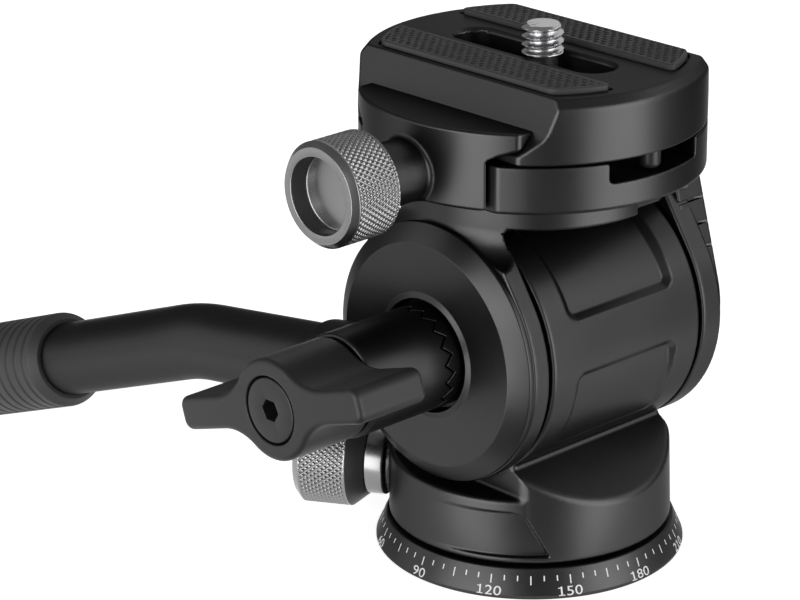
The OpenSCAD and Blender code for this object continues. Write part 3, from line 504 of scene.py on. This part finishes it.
def dense(outline, start, stop, step):
    """Outline points with extra ones between two places along it, for a knurl or a thread."""
    points = []
    for a, b in zip(rounded(outline), rounded(outline)[1:]):
        points.append(a)
        if abs(a.x - b.x) > step and min(a.x, b.x) >= start - 1e-6 and max(a.x, b.x) <= stop + 1e-6:
            parts = int(abs(b.x - a.x) / step)
            points += [a.lerp(b, k / parts) for k in range(1, parts)]
    points.append(rounded(outline)[-1])
    return points


def knurl(start, stop):
    """Knurl between two places along a knob: two crossed sets of grooves that leave raised diamonds."""
    around, pitch, depth, groove, rim, ends = 56, 1.2, 0.26, 0.24, 0.3, 0.3

    def surface(along, radius, angle):
        if not start <= along <= stop or radius < KNOB_R - rim:
            return radius
        turns, rise = angle * around / (2 * math.pi), along / pitch
        near = min(abs((turns + rise) % 1 - 0.5), abs((turns - rise) % 1 - 0.5))
        fade = min(1, (along - start) / ends, (stop - along) / ends)
        return radius - depth * fade * max(0, 1 - near / groove)
    return surface


def knurled_knob(name, outline, grip_start, grip_end, knurl_end, axis, node, body):
    """Turned knob with a knurl on its grip."""
    fine_step, around, margin = 0.1, 672, 0.2
    return turned(name, dense(outline, grip_start, grip_end, fine_step), axis, node, body, "gunmetal",
                  steps=around, closed=True, surface=knurl(grip_start + margin, knurl_end), sharp=80)


ALONG_LEFT = Matrix.Translation((0, 0, TILT_Z)) @ Matrix.Rotation(math.radians(-90), 4, "Y")
ALONG_RIGHT = Matrix.Translation((0, 0, TILT_Z)) @ Matrix.Rotation(math.radians(90), 4, "Y")
CLAMP_AXIS = Matrix.Translation((0, 0, SCREW_Z)) @ Matrix.Rotation(math.radians(-90), 4, "Y")
LOCK_AXIS = (Matrix.Translation((0, 0, LOCK_Z)) @ Matrix.Rotation(LOCK_ANGLE, 4, "Z")
             @ Matrix.Rotation(math.radians(90), 4, "Y"))
UPRIGHT = Matrix.Identity(4)


# Finishes

def grain_group():
    """Fine grain of a blasted, moulded or rubbed surface: roughness, tone and height from two noises."""
    group = bpy.data.node_groups.new("surface_grain", "ShaderNodeTree")
    for name, value in (("Grain", 9000.0), ("Clouds", 90.0), ("Smooth", 0.35), ("Rough", 0.5)):
        made = group.interface.new_socket(name=name, in_out="INPUT", socket_type="NodeSocketFloat")
        made.default_value = value
    for name in ("Roughness", "Tone", "Height"):
        group.interface.new_socket(name=name, in_out="OUTPUT", socket_type="NodeSocketFloat")
    nodes, links = group.nodes, group.links
    given, out = nodes.new("NodeGroupInput"), nodes.new("NodeGroupOutput")
    place = nodes.new("ShaderNodeTexCoord")
    fine, wide = nodes.new("ShaderNodeTexNoise"), nodes.new("ShaderNodeTexNoise")
    fine.inputs["Detail"].default_value = 2
    wide.inputs["Detail"].default_value = 4
    for noise, scale in ((fine, "Grain"), (wide, "Clouds")):
        links.new(place.outputs["Object"], noise.inputs["Vector"])
        links.new(given.outputs[scale], noise.inputs["Scale"])
    mix = nodes.new("ShaderNodeMapRange")
    mix.inputs["From Min"].default_value = 0.3
    mix.inputs["From Max"].default_value = 0.7
    links.new(wide.outputs["Fac"], mix.inputs["Value"])
    links.new(given.outputs["Smooth"], mix.inputs["To Min"])
    links.new(given.outputs["Rough"], mix.inputs["To Max"])
    links.new(mix.outputs["Result"], out.inputs["Roughness"])
    links.new(wide.outputs["Fac"], out.inputs["Tone"])
    links.new(fine.outputs["Fac"], out.inputs["Height"])
    return group


def surface_finish(name, dark, light, smooth, rough, metallic=0.0, specular=0.5, edge=1.0, grain=9000.0,
                   clouds=90.0, bump=0.05):
    """Material whose tone, roughness and height come from the shared grain.

    edge dims its grazing reflections.
    """
    bump_height = 0.0001
    material = bpy.data.materials.new(name)
    material.use_nodes = True
    nodes, links = material.node_tree.nodes, material.node_tree.links
    shader = nodes["Principled BSDF"]
    shader.inputs["Metallic"].default_value = metallic
    shader.inputs["Specular IOR Level"].default_value = specular
    shader.inputs["Specular Tint"].default_value = (edge, edge, edge, 1)
    texture = nodes.new("ShaderNodeGroup")
    texture.node_tree = GRAIN
    for key, value in (("Grain", grain), ("Clouds", clouds), ("Smooth", smooth), ("Rough", rough)):
        texture.inputs[key].default_value = value
    tone = nodes.new("ShaderNodeMix")
    tone.data_type = "RGBA"
    tone.inputs["A"].default_value = (*dark, 1)
    tone.inputs["B"].default_value = (*light, 1)
    links.new(texture.outputs["Tone"], tone.inputs["Factor"])
    links.new(tone.outputs["Result"], shader.inputs["Base Color"])
    links.new(texture.outputs["Roughness"], shader.inputs["Roughness"])
    height = nodes.new("ShaderNodeBump")
    height.inputs["Strength"].default_value = bump
    height.inputs["Distance"].default_value = bump_height
    links.new(texture.outputs["Height"], height.inputs["Height"])
    links.new(height.outputs["Normal"], shader.inputs["Normal"])
    return material


GRAIN = grain_group()
LOOKS = {
    "anodised_black": dict(dark=(0.051, 0.051, 0.0516), light=(0.057, 0.057, 0.0577), smooth=0.34, rough=0.4,
                           metallic=1.0, edge=0.5, bump=0.08),
    "gunmetal": dict(dark=(0.24, 0.24, 0.243), light=(0.3, 0.3, 0.304), smooth=0.24, rough=0.31,
                     metallic=1.0, grain=6000, bump=0.02),
    "steel": dict(dark=(0.56, 0.56, 0.57), light=(0.7, 0.7, 0.71), smooth=0.24, rough=0.32,
                  metallic=1.0, grain=5000, bump=0.01),
    "black_steel": dict(dark=(0.02, 0.02, 0.021), light=(0.035, 0.035, 0.037), smooth=0.3, rough=0.42,
                        metallic=0.5),
    "bronze": dict(dark=(0.42, 0.27, 0.11), light=(0.55, 0.37, 0.17), smooth=0.3, rough=0.45,
                   metallic=1.0, grain=4000, bump=0.1),
    "rubber": dict(dark=(0.018, 0.018, 0.018), light=(0.031, 0.031, 0.031), smooth=0.5, rough=0.65,
                   grain=7000, bump=0.2),
    "moulded_black": dict(dark=(0.009, 0.009, 0.0095), light=(0.015, 0.015, 0.0155), smooth=0.42, rough=0.52,
                          specular=0.43, grain=5000, bump=0.15),
    "slip_polymer": dict(dark=(0.72, 0.72, 0.68), light=(0.85, 0.85, 0.8), smooth=0.4, rough=0.55,
                         grain=3000),
    "collar_black": dict(dark=(0.034, 0.034, 0.035), light=(0.05, 0.05, 0.051), smooth=0.42, rough=0.5,
                         specular=0.45),
    "dial_white": dict(dark=(0.72, 0.72, 0.71), light=(0.85, 0.85, 0.84), smooth=0.5, rough=0.65,
                       grain=8000),
}
finishes = {name: surface_finish(name, **look) for name, look in LOOKS.items()}


def paint(piece, finish, test):
    """Gives the faces of a piece whose middle, in mm, passes a test another finish."""
    piece.data.materials.append(finishes[finish])
    for face in piece.data.polygons:
        if test(face.center / MM):
            face.material_index = len(piece.data.materials) - 1


# Base with its dial

def dial_radius(z):
    return BASE_R - (z - BASE_FOOT) * (BASE_R - BASE_TOP_R) / (BASE_H - BASE_FOOT)


def on_dial(bm, angle, z0):
    """Lays flat marks on the dial's cone: x runs around, y up the cone and z out of it."""
    lean = math.atan2(BASE_R - BASE_TOP_R, BASE_H - BASE_FOOT)
    for v in bm.verts:
        z = z0 + v.co.y * math.cos(lean)
        r = dial_radius(z)
        turn, out = angle + v.co.x / r, v.co.z
        r += out * math.cos(lean)
        v.co = (r * math.cos(turn), r * math.sin(turn), z + out * math.sin(lean))


def digit_mesh(digit, height, proud):
    """One raised digit, upright and centred on x = 0. The font's plain 1 gets a foot and a flag."""
    font_height, bar_tall = 0.69, 0.1
    foot, flag = (0.52, 0.0, 0.05), (0.26, -0.14, 0.84)
    words = bpy.data.curves.new("dial_digit", "FONT")
    words.body = digit
    words.size = height / font_height
    words.align_x = "CENTER"
    words.extrude = proud
    flat = bpy.data.objects.new("dial_digit", words)
    bpy.context.collection.objects.link(flat)
    number = bmesh.new()
    number.from_mesh(bpy.data.meshes.new_from_object(flat))
    bpy.data.objects.remove(flat)
    if digit == "1":
        for wide, right, up in (foot, flag):
            bar = bmesh.new()
            bmesh.ops.create_cube(bar, size=1)
            bmesh.ops.scale(bar, verts=bar.verts, vec=(wide * height, bar_tall * height, 2 * proud))
            bmesh.ops.translate(bar, verts=bar.verts, vec=(right * height, up * height, 0))
            merge(number, bar)
    return number


def dial_marks():
    """Painted scale: a tick every 5 degrees, longer ones every 15, a number every 30."""
    tick_top, short, long, tick_wide, proud = 3.5, 0.8, 1.35, 0.18, 0.03
    digit_h, digit_z, digit_wide, digit_step, zero_at = 1.4, 0.6, 1.3, 1.35, 89.5
    marks = bmesh.new()
    for degrees in range(0, 360, 5):
        length = long if degrees % 15 == 0 else short
        tick = bmesh.new()
        bmesh.ops.create_cube(tick, size=1)
        bmesh.ops.scale(tick, verts=tick.verts, vec=(tick_wide, length, 2 * proud))
        on_dial(tick, math.radians(degrees), tick_top - length / 2)
        merge(marks, tick)
    for degrees in range(0, 360, 30):
        digits = str(degrees)
        for place, digit in enumerate(digits):
            number = digit_mesh(digit, digit_h, proud)
            bmesh.ops.scale(number, verts=number.verts, vec=(digit_wide, 1, 1))
            across = (place - (len(digits) - 1) / 2) * digit_step
            bmesh.ops.translate(number, verts=number.verts, vec=(across, 0, 0))
            on_dial(number, math.radians(degrees + zero_at), digit_z)
            merge(marks, number)
    return placed("dial_marks", marks, UPRIGHT, None, "base", "dial_white")


turned("dial_ring", [(0, BASE_BORE, 0), (0, BASE_R - 0.3, 0.1), (0.3, BASE_R, 0.2), (BASE_FOOT, BASE_R, 0.3),
                     (BASE_H, BASE_TOP_R, 0.35), (BASE_H, BASE_BORE, 0)],
       UPRIGHT, "base_ring", "base", "anodised_black", steps=256, closed=True)
dial_marks()

# Pan body and its lock
skinned("pan_casting", pan_form, (-22.3, -22.3, PAN_Z0), (22.3, 22.3, TILT_Z + DRUM_R), 0.52,
        "pan_body", "pan", "anodised_black",
        fine=((-22.4, 12.2, 0.35), (-18.5, -3.0, 0.32), (5.4, 13.9, 0.26)))
turned("lock_neck", [(NECK_S0, KNOB_BORE, 0), (NECK_S0, LOCK_NECK_R, 0.3), (COLLAR_S0, LOCK_NECK_R, 0.2),
                     (COLLAR_S0, KNOB_BORE, 0)],
       LOCK_AXIS, "pan_lock_neck", "pan_knob", "gunmetal", closed=True)
lock_outline = [(COLLAR_S0, KNOB_BORE, 0), (COLLAR_S0, LOCK_COLLAR_R, 0.2), (GRIP_S0, KNOB_R, 0.3),
                (LOCK_END - LOCK_CHAMFER, KNOB_R, 0.15), (LOCK_END, KNOB_R - 1.3, 0.15),
                (LOCK_END, LOCK_CUP_R, 0.15), (LOCK_END - LOCK_CUP, LOCK_CUP_R, 0.4),
                (LOCK_END - LOCK_CUP, 0, 0), (LOCK_END - LOCK_WEB, 0, 0),
                (LOCK_END - LOCK_WEB, KNOB_BORE, 0)]
lock_knob = knurled_knob("lock_knob", lock_outline, GRIP_S0, LOCK_END - LOCK_CHAMFER, LOCK_END - 1.3,
                         LOCK_AXIS, "pan_lock_knob", "pan_knob")
lock_back = LOCK_AXIS.inverted()
COLLAR_END, COLLAR_LEAST_R = GRIP_S0 - 0.02, 5.7
paint(lock_knob, "collar_black",
      lambda p: (lock_back @ p).z < COLLAR_END and (lock_back @ p).xy.length > COLLAR_LEAST_R)

# Yoke, left disc, rosette and right cover
skinned("yoke_frame", yoke_form, (-20.5, -26, 15.5), (21, 26, CLAMP_Z), 0.4,
        "yoke", "yoke", "anodised_black")
BEAD_X = DISC_FACE + 0.4
turned("left_disc_face", [(HUB_BORE_X, 0, 0), (HUB_BORE_X, HUB_BORE, 0), (WELL_X, HUB_BORE, 0),
                          (WELL_X, WELL_R, 0.3), (BEAD_X, WELL_R, 0.15), (BEAD_X, WELL_R + 0.25, 0.2),
                          (DISC_FACE, WELL_R + 1.0, 0.4), (DISC_FACE, DISC_FACE_R, 0.4),
                          (ARM_LEFT + 0.75, DISC_R, 0.35), (ARM_LEFT, DISC_R, 0.1), (ARM_LEFT, HUB_R, 0),
                          (HUB_X, HUB_R, 0), (HUB_X, 0, 0)],
       ALONG_LEFT, "left_disc", "yoke", "anodised_black", steps=200)
skinned("rosette_teeth", rosette_form, (-26, -8.2, TILT_Z - 8.2), (-WELL_X, 8.2, TILT_Z + 8.2), 0.16,
        "rosette", "yoke", "anodised_black")
skinned("right_cover", cover_form, (COVER_X0, -18, TILT_Z - 18), (COVER_X1, 18, CLAMP_Z), 0.32,
        "arm_cover", "yoke", "anodised_black", fine=(None, None, (TILT_Z + 9.2, TILT_Z + 18, 0.14)))


def coin_edge(along, radius, angle):
    """Fine ribs around the drag dial's rim."""
    ribs, depth, rim = 72, 0.3, 9.6
    return radius - depth * (0.5 - 0.5 * math.cos(angle * ribs)) if radius > rim else radius


turned("drag_dial", [(DRAG_X0, 0, 0), (DRAG_X0, DRAG_R - 0.6, 0.2), (DRAG_X0 + 0.6, DRAG_R, 0.2),
                     (DRAG_X1 - 0.6, DRAG_R, 0.2), (DRAG_X1, DRAG_R - 0.6, 0.2),
                     (DRAG_X1, DRAG_DISH_R + 0.4, 0.2), (DRAG_DISH_X, DRAG_DISH_R, 0.2),
                     (DRAG_DISH_X, 0, 0)],
       ALONG_RIGHT, "tilt_dial", "drag_dial", "gunmetal", steps=432, surface=coin_edge)

# Clamp, jaw and knob
skinned("clamp_body", clamp_form, (-BASE_END, -26.3, CLAMP_Z), (26.3, 26.3, JAW_TOP), 0.33,
        "clamp_base", "yoke", "anodised_black")
skinned("clamp_jaw", jaw_form, (-BOSS_END, -LIP_HALF, CLAMP_Z), (-16.5, LIP_HALF, JAW_TOP), 0.22,
        "jaw", "jaw", "anodised_black")
CUP_X, CUP_BACK = KNOB_X1 - KNOB_CUP, KNOB_X1 - KNOB_CUP - 1
knob_outline = [(KNOB_X0, KNOB_BORE, 0), (KNOB_X0, KNOB_R, 0.3), (KNOB_X1 - KNOB_CHAMFER, KNOB_R, 0.15),
                (KNOB_X1, KNOB_FACE_R, 0.12), (KNOB_X1, KNOB_CUP_R, 0.15), (CUP_X, KNOB_CUP_R, 0.3),
                (CUP_X, 0, 0), (CUP_BACK, 0, 0), (CUP_BACK, KNOB_BORE, 0)]
knurled_knob("clamp_knob_grip", knob_outline, KNOB_X0, KNOB_X1 - KNOB_CHAMFER, KNOB_X1 - 1.1, CLAMP_AXIS,
             "clamp_knob", "clamp_knob")

# Sliding plate, strips, pins and camera screw
skinned("sliding_plate", plate_form, (-DOVETAIL, -PLATFORM_R, PLATE_Z0), (DOVETAIL, PLATFORM_R, PLATE_Z1),
        0.33, "qr_plate", "plate", "anodised_black")


def rubber_strips():
    """Two strips with a smooth border around rows of small staggered dimples."""
    border, row, dash, gap, deep, seat, corner = 0.7, 0.95, 1.15, 0.4, 0.55, 0.9, 1.0
    side_fall, border_fall, edge_round = 0.12, 0.1, 0.25
    across, along = 64, 360
    strips = bmesh.new()
    for side in (-1, 1):
        strip = bmesh.new()
        bmesh.ops.create_grid(strip, x_segments=across, y_segments=along, size=1)
        for v in strip.verts:
            x = STRIP_IN + (v.co.x + 1) / 2 * (STRIP_OUT - STRIP_IN)
            near = max(corner - min(x - STRIP_IN, STRIP_OUT - x), 0)
            reach = math.sqrt(STRIP_R ** 2 - x ** 2) - corner + math.sqrt(corner ** 2 - near ** 2)
            y = v.co.y * reach
            inset = min(x - STRIP_IN, STRIP_OUT - x, reach - abs(y))
            line = (x - STRIP_IN - border) / row
            step = (y / (dash + gap) + 0.5 * (int(line) % 2)) % 1 * (dash + gap)
            mask = min(max((row / 2 - side_fall - abs(line % 1 - 0.5) * row) / side_fall, 0), 1)
            mask *= min(max((dash / 2 - abs(step - (dash + gap) / 2)) / side_fall, 0), 1)
            mask *= min(max((inset - border) / border_fall, 0), 1)
            edge = edge_round * max(0, 1 - inset / edge_round) ** 2
            v.co = (side * x, y, STRIP_TOP - deep * mask - edge)
        rim = [e for e in strip.edges if e.is_boundary]
        down = bmesh.ops.extrude_edge_only(strip, edges=rim)["geom"]
        for v in down:
            if isinstance(v, bmesh.types.BMVert):
                v.co.z = STRIP_TOP - seat
        bmesh.ops.recalc_face_normals(strip, faces=strip.faces)
        merge(strips, strip)
    return placed("grip_strips", strips, UPRIGHT, "rubber_strips", "plate", "rubber", sharp=50)


rubber_strips()


def stop_pins():
    """Two round-nosed pins under the plate."""
    top, nose = PLATE_Z0 + 3, 0.8
    pins = bmesh.new()
    for side in (-1, 1):
        outline = [(PIN_TIP, 0, 0), (PIN_TIP, PIN_R, nose), (top, PIN_R, 0), (top, 0, 0)]
        pin = lathe(rounded(outline), steps=64)
        bmesh.ops.recalc_face_normals(pin, faces=pin.faces)
        bmesh.ops.translate(pin, verts=pin.verts, vec=(0, side * PIN_Y, 0))
        merge(pins, pin)
    return placed("window_pins", pins, UPRIGHT, "stop_pins", "plate", "black_steel")


stop_pins()


def camera_thread(along, radius, angle):
    """Thread of 20 turns to the inch on the screw's free end."""
    pitch, depth, run_in = 1.27, 0.8, 0.4
    if along < THREAD_Z or radius < SCREW_R - depth:
        return radius
    groove = math.cos(math.pi * ((along / pitch - angle / (2 * math.pi)) % 1 - 0.5))
    return min(radius, SCREW_R - depth * groove * min(1, (along - THREAD_Z) / run_in))


RELIEF_R = SCREW_R - RELIEF_DEEP
screw_outline = [(HEAD_Z0, 0, 0), (HEAD_Z0, HEAD_R, 0.3), (HEAD_Z1, HEAD_R, 0.2), (HEAD_Z1, SCREW_R, 0),
                 (RELIEF_Z, SCREW_R, 0.1), (RELIEF_Z, RELIEF_R, 0.1), (THREAD_Z, RELIEF_R, 0.1),
                 (THREAD_Z + 0.05, SCREW_R, 0.02), (SCREW_TIP - 0.7, SCREW_R, 0.1),
                 (SCREW_TIP, SCREW_R - 0.75, 0.1), (SCREW_TIP, 0, 0)]
turned("camera_screw_thread", dense(screw_outline, THREAD_Z, SCREW_TIP, 0.08),
       Matrix.Translation((0, SCREW_Y, 0)), "camera_screw", "camera_screw", "steel",
       surface=camera_thread, sharp=80)

# Handle
skinned("handle_barrel_teeth", barrel_form, (-BARREL_X1, -8.3, TILT_Z - 9), (-24, 11, TILT_Z + 8.3), 0.22,
        "handle_barrel", "handle", "anodised_black")
HANDLE = Matrix.Translation((-TUBE_X, 0, TILT_Z)) @ Matrix.Rotation(-TUBE_DROP, 4, "X")
LAST = (HANDLE @ Matrix.Translation((0, TUBE_FIRST, -TUBE_BEND_R)) @ Matrix.Rotation(-TUBE_BEND, 4, "X")
        @ Matrix.Translation((0, 0, TUBE_BEND_R)))


def handle_tube():
    """Tube with one bend: a ring carried along the first stretch, around the bend and down the last."""
    start, seat = 5.3, 1.0
    tube = bmesh.new()
    ring = bmesh.ops.create_circle(tube, segments=96, radius=TUBE_R)["verts"]
    bmesh.ops.rotate(tube, verts=ring, matrix=Matrix.Rotation(math.radians(90), 3, "X"))
    bmesh.ops.translate(tube, verts=ring, vec=(0, start, 0))
    end = tube.edges[:]

    def carry(edges, way):
        made = bmesh.ops.extrude_edge_only(tube, edges=edges)["geom"]
        bmesh.ops.translate(tube, verts=[g for g in made if isinstance(g, bmesh.types.BMVert)], vec=way)
        return [g for g in made if isinstance(g, bmesh.types.BMEdge)]

    end = carry(end, (0, TUBE_FIRST - start, 0))
    bent = bmesh.ops.spin(tube, geom=end, cent=(0, TUBE_FIRST, -TUBE_BEND_R), axis=(1, 0, 0),
                          angle=-TUBE_BEND, steps=16)
    last = [g for g in bent["geom_last"] if isinstance(g, bmesh.types.BMEdge)]
    carry(last, (TUBE_LAST - seat) * Vector((0, math.cos(TUBE_BEND), -math.sin(TUBE_BEND))))
    bmesh.ops.holes_fill(tube, edges=[e for e in tube.edges if e.is_boundary])
    bmesh.ops.recalc_face_normals(tube, faces=tube.faces)
    return placed("handle_bent_tube", tube, HANDLE, "handle_tube", "handle", "anodised_black")


handle_tube()
grip_start = TUBE_LAST - GRIP_L + 2


def grip_rings(along, radius, angle):
    """Shallow rings around the rubber grip."""
    step, depth, rim, plain, land = 2.4, 0.35, 0.2, 2.5, 0.55
    if radius < GRIP_R - rim or not plain < along < GRIP_L - plain:
        return radius
    wave = math.cos((along - GRIP_L / 2) / step * 2 * math.pi)
    return radius - depth * max(0, wave - land) / (1 - land)


grip_outline = [(0, TUBE_R + 0.05, 0), (0, TUBE_R + 0.7, 0.3), (1.4, GRIP_R, 0.8),
                (GRIP_L - 1.8, GRIP_R, 1.2), (GRIP_L, GRIP_R - 1.8, 0.8), (GRIP_L, 0, 0)]
turned("handle_rubber_grip", dense(grip_outline, 0, GRIP_L, 0.2),
       LAST @ Matrix.Translation((0, grip_start, 0)) @ Matrix.Rotation(math.radians(-90), 4, "X"),
       "handle_grip", "handle", "rubber", surface=grip_rings)

# Wing knob and its bolt
skinned("wing_knob_body", wing_form, (-WING_X1, -21.5, TILT_Z - 11), (-WING_X0, 21.5, TILT_Z + 11), 0.28,
        "wing_knob", "wing", "moulded_black")


def hex_socket(along, radius, angle):
    """Six flats in the bolt's cap."""
    start, most_r = 50, 1.62
    if along < start or radius > most_r:
        return radius
    return radius / math.cos((angle + math.pi / 6) % (math.pi / 3) - math.pi / 6)


CAP_X1 = WING_X1 - 0.1
turned("wing_cap_bolt", [(BOLT_X, 0, 0), (BOLT_X, BOLT_R, 0.3), (CAP_X0, BOLT_R, 0), (CAP_X0, CAP_R, 0.1),
                         (CAP_X1, CAP_R, 0.25), (CAP_X1, SOCKET_R, 0.1), (CAP_X1 - SOCKET_DEEP, SOCKET_R, 0),
                         (CAP_X1 - SOCKET_DEEP, 0, 0)],
       ALONG_LEFT, "wing_bolt", "wing", "black_steel", steps=120, surface=hex_socket)

# Pieces that stay as CAD solids, mostly hidden, take their record's finish.
shown = {row["node"]: row["material_slot"] for row in frame["record"]["subparts"]}
for node, finish in shown.items():
    for place in frame["nodes"][node].material_slots:
        place.material = finishes[finish]


# Stage, light and camera

def floor_paper():
    """Pale floor with a painted pool of light: white where the picture is taken, falling off to grey at the
    sides and back.

    Its front edge fades out to clear. The camera and reflections see it with its own glow, a painted light
    that is strongest in the pool, and the shadow of the head stays on it.
    """
    grey, paper_white, white_glow, grey_glow = 0.16, 0.82, 0.68, 0.1
    material = bpy.data.materials.new("floor_paper")
    material.use_nodes = True
    nodes, links = material.node_tree.nodes, material.node_tree.links
    nodes.remove(nodes["Principled BSDF"])

    def math_node(way, first, second):
        node = nodes.new("ShaderNodeMath")
        node.operation = way
        for place, value in zip(node.inputs, (first, second)):
            if isinstance(value, float):
                place.default_value = value
            elif value:
                links.new(value, place)
        return node.outputs["Value"]

    coords = nodes.new("ShaderNodeTexCoord")
    turn = nodes.new("ShaderNodeMapping")
    split = nodes.new("ShaderNodeSeparateXYZ")
    turn.inputs["Rotation"].default_value = (0, 0, -AZIMUTH)
    turn.inputs["Location"].default_value = (-(POOL_LEFT + POOL_RIGHT) / 2, 0, 0)
    links.new(coords.outputs["Object"], turn.inputs["Vector"])
    links.new(turn.outputs["Vector"], split.inputs["Vector"])
    pool = []
    for axis, half, fall in (("X", (POOL_RIGHT - POOL_LEFT) / 2, SIDE_FALL), ("Y", POOL_BACK, BACK_FALL)):
        fade = nodes.new("ShaderNodeMapRange")
        fade.interpolation_type = "SMOOTHSTEP"
        for key, value in (("From Min", half), ("From Max", half + fall), ("To Min", 1.0), ("To Max", 0.0)):
            fade.inputs[key].default_value = value
        links.new(math_node("ABSOLUTE", split.outputs[axis], None), fade.inputs["Value"])
        pool.append(fade.outputs["Result"])
    # painted pool of light: this mask makes the floor white and glowing where the picture is taken, grey
    # beyond
    white = math_node("MULTIPLY", *pool)
    rays = nodes.new("ShaderNodeLightPath")
    seen = math_node("MAXIMUM", rays.outputs["Is Camera Ray"], rays.outputs["Is Glossy Ray"])
    seen = math_node("MAXIMUM", seen, rays.outputs["Is Transmission Ray"])
    tone = nodes.new("ShaderNodeMix")
    tone.data_type = "RGBA"
    tone.inputs["A"].default_value = (grey, grey, grey, 1)
    tone.inputs["B"].default_value = (paper_white, paper_white, paper_white, 1)
    links.new(white, tone.inputs["Factor"])
    paper = nodes.new("ShaderNodeBsdfDiffuse")
    glow = nodes.new("ShaderNodeEmission")
    lit_paper = nodes.new("ShaderNodeAddShader")
    links.new(tone.outputs["Result"], paper.inputs["Color"])
    # painted light: the floor's glow is strongest inside the pool
    strength = math_node("ADD", math_node("MULTIPLY", white, white_glow), grey_glow)
    links.new(math_node("MULTIPLY", strength, seen), glow.inputs["Strength"])
    links.new(paper.outputs["BSDF"], lit_paper.inputs[0])
    links.new(glow.outputs["Emission"], lit_paper.inputs[1])
    front = nodes.new("ShaderNodeMapRange")
    clear = nodes.new("ShaderNodeBsdfTransparent")
    edge = nodes.new("ShaderNodeMixShader")
    front.interpolation_type = "SMOOTHSTEP"
    front.inputs["From Min"].default_value = POOL_FRONT - FRONT_FALL
    front.inputs["From Max"].default_value = POOL_FRONT
    links.new(split.outputs["Y"], front.inputs["Value"])
    links.new(front.outputs["Result"], edge.inputs[0])
    links.new(clear.outputs["BSDF"], edge.inputs[1])
    links.new(lit_paper.outputs["Shader"], edge.inputs[2])
    links.new(edge.outputs["Shader"], nodes["Material Output"].inputs["Surface"])
    return material


def soft_lamp(name, azimuth, elevation, distance, wide, tall, level):
    """Rectangular soft lamp that faces the head, its angles in degrees.

    level is how bright its face is, where 1 is white.
    """
    azimuth, elevation = math.radians(azimuth), math.radians(elevation)
    aim, flat = Vector((0, 0, LAMP_AIM_Z)), math.cos(elevation)
    way = Vector((math.cos(azimuth) * flat, math.sin(azimuth) * flat, math.sin(elevation)))
    data = bpy.data.lights.new(name, "AREA")
    data.shape, data.size, data.size_y = "RECTANGLE", wide, tall
    data.energy = level * math.pi * wide * tall
    lamp = bpy.data.objects.new(name, data)
    lamp.location = aim + way * distance
    lamp.rotation_euler = way.to_track_quat("Z", "Y").to_euler()
    bpy.context.collection.objects.link(lamp)


soft_lamp("left_softbox", azimuth=183, elevation=0, distance=1.4, wide=1.25, tall=1.6, level=3.9)
soft_lamp("front_softbox", azimuth=283, elevation=0, distance=1.4, wide=1.1, tall=1.6, level=3.7)
soft_lamp("upper_softbox", azimuth=318, elevation=27, distance=1.4, wide=0.6, tall=0.6, level=1.4)
soft_lamp("side_softbox", azimuth=130, elevation=6, distance=1.4, wide=0.7, tall=1.8, level=1.0)
soft_lamp("back_softbox", azimuth=15, elevation=38, distance=1.5, wide=2.0, tall=1.6, level=0.45)

world = bpy.data.worlds.new("studio")
bpy.context.scene.world = world
world.use_nodes = True
world.node_tree.nodes["Background"].inputs["Color"].default_value = (1, 1, 1, 1)
world.node_tree.nodes["Background"].inputs["Strength"].default_value = WORLD_LEVEL

floor_front, floor_back = POOL_FRONT - FRONT_FALL, POOL_BACK + BACK_FALL
floor_size = (POOL_RIGHT - POOL_LEFT + 2 * SIDE_FALL, floor_back - floor_front, 1)
floor_middle = ((POOL_LEFT + POOL_RIGHT) / 2, (floor_front + floor_back) / 2, -FLOOR_Z_GAP)
ground = bmesh.new()
bmesh.ops.create_grid(ground, x_segments=2, y_segments=2, size=0.5)
bmesh.ops.scale(ground, verts=ground.verts, vec=floor_size)
bmesh.ops.translate(ground, verts=ground.verts, vec=floor_middle)
bmesh.ops.rotate(ground, verts=ground.verts, matrix=Matrix.Rotation(AZIMUTH, 3, "Z"))
ground_mesh = bpy.data.meshes.new("studio_floor")
ground.to_mesh(ground_mesh)
ground.free()
floor = bpy.data.objects.new("studio_floor", ground_mesh)
bpy.context.collection.objects.link(floor)
floor.data.materials.append(floor_paper())

camera = bpy.data.objects.new("camera", bpy.data.cameras.new("camera"))
bpy.context.collection.objects.link(camera)
bpy.context.scene.camera = camera
camera.data.sensor_width = 36
camera.data.lens = FOCAL_PX / IMAGE[0] * camera.data.sensor_width
camera.data.clip_start, camera.data.clip_end = 0.01, 50
level = math.cos(ELEVATION)
back = Vector((math.sin(AZIMUTH) * level, -math.cos(AZIMUTH) * level, math.sin(ELEVATION)))
right = Vector((math.cos(AZIMUTH), math.sin(AZIMUTH), 0))
up = back.cross(right)
right, up = right * math.cos(ROLL) + up * math.sin(ROLL), up * math.cos(ROLL) - right * math.sin(ROLL)
shift_right = (AIM_PX[0] - IMAGE[0] / 2) * AIM_DEPTH / FOCAL_PX
shift_up = (IMAGE[1] / 2 - AIM_PX[1]) * AIM_DEPTH / FOCAL_PX
eye = (AIM + back * AIM_DEPTH - right * shift_right - up * shift_up) * MM
camera.matrix_world = Matrix((right, up, back)).transposed().to_4x4()
camera.location = eye

bpy.context.scene.view_settings.view_transform = "Standard"
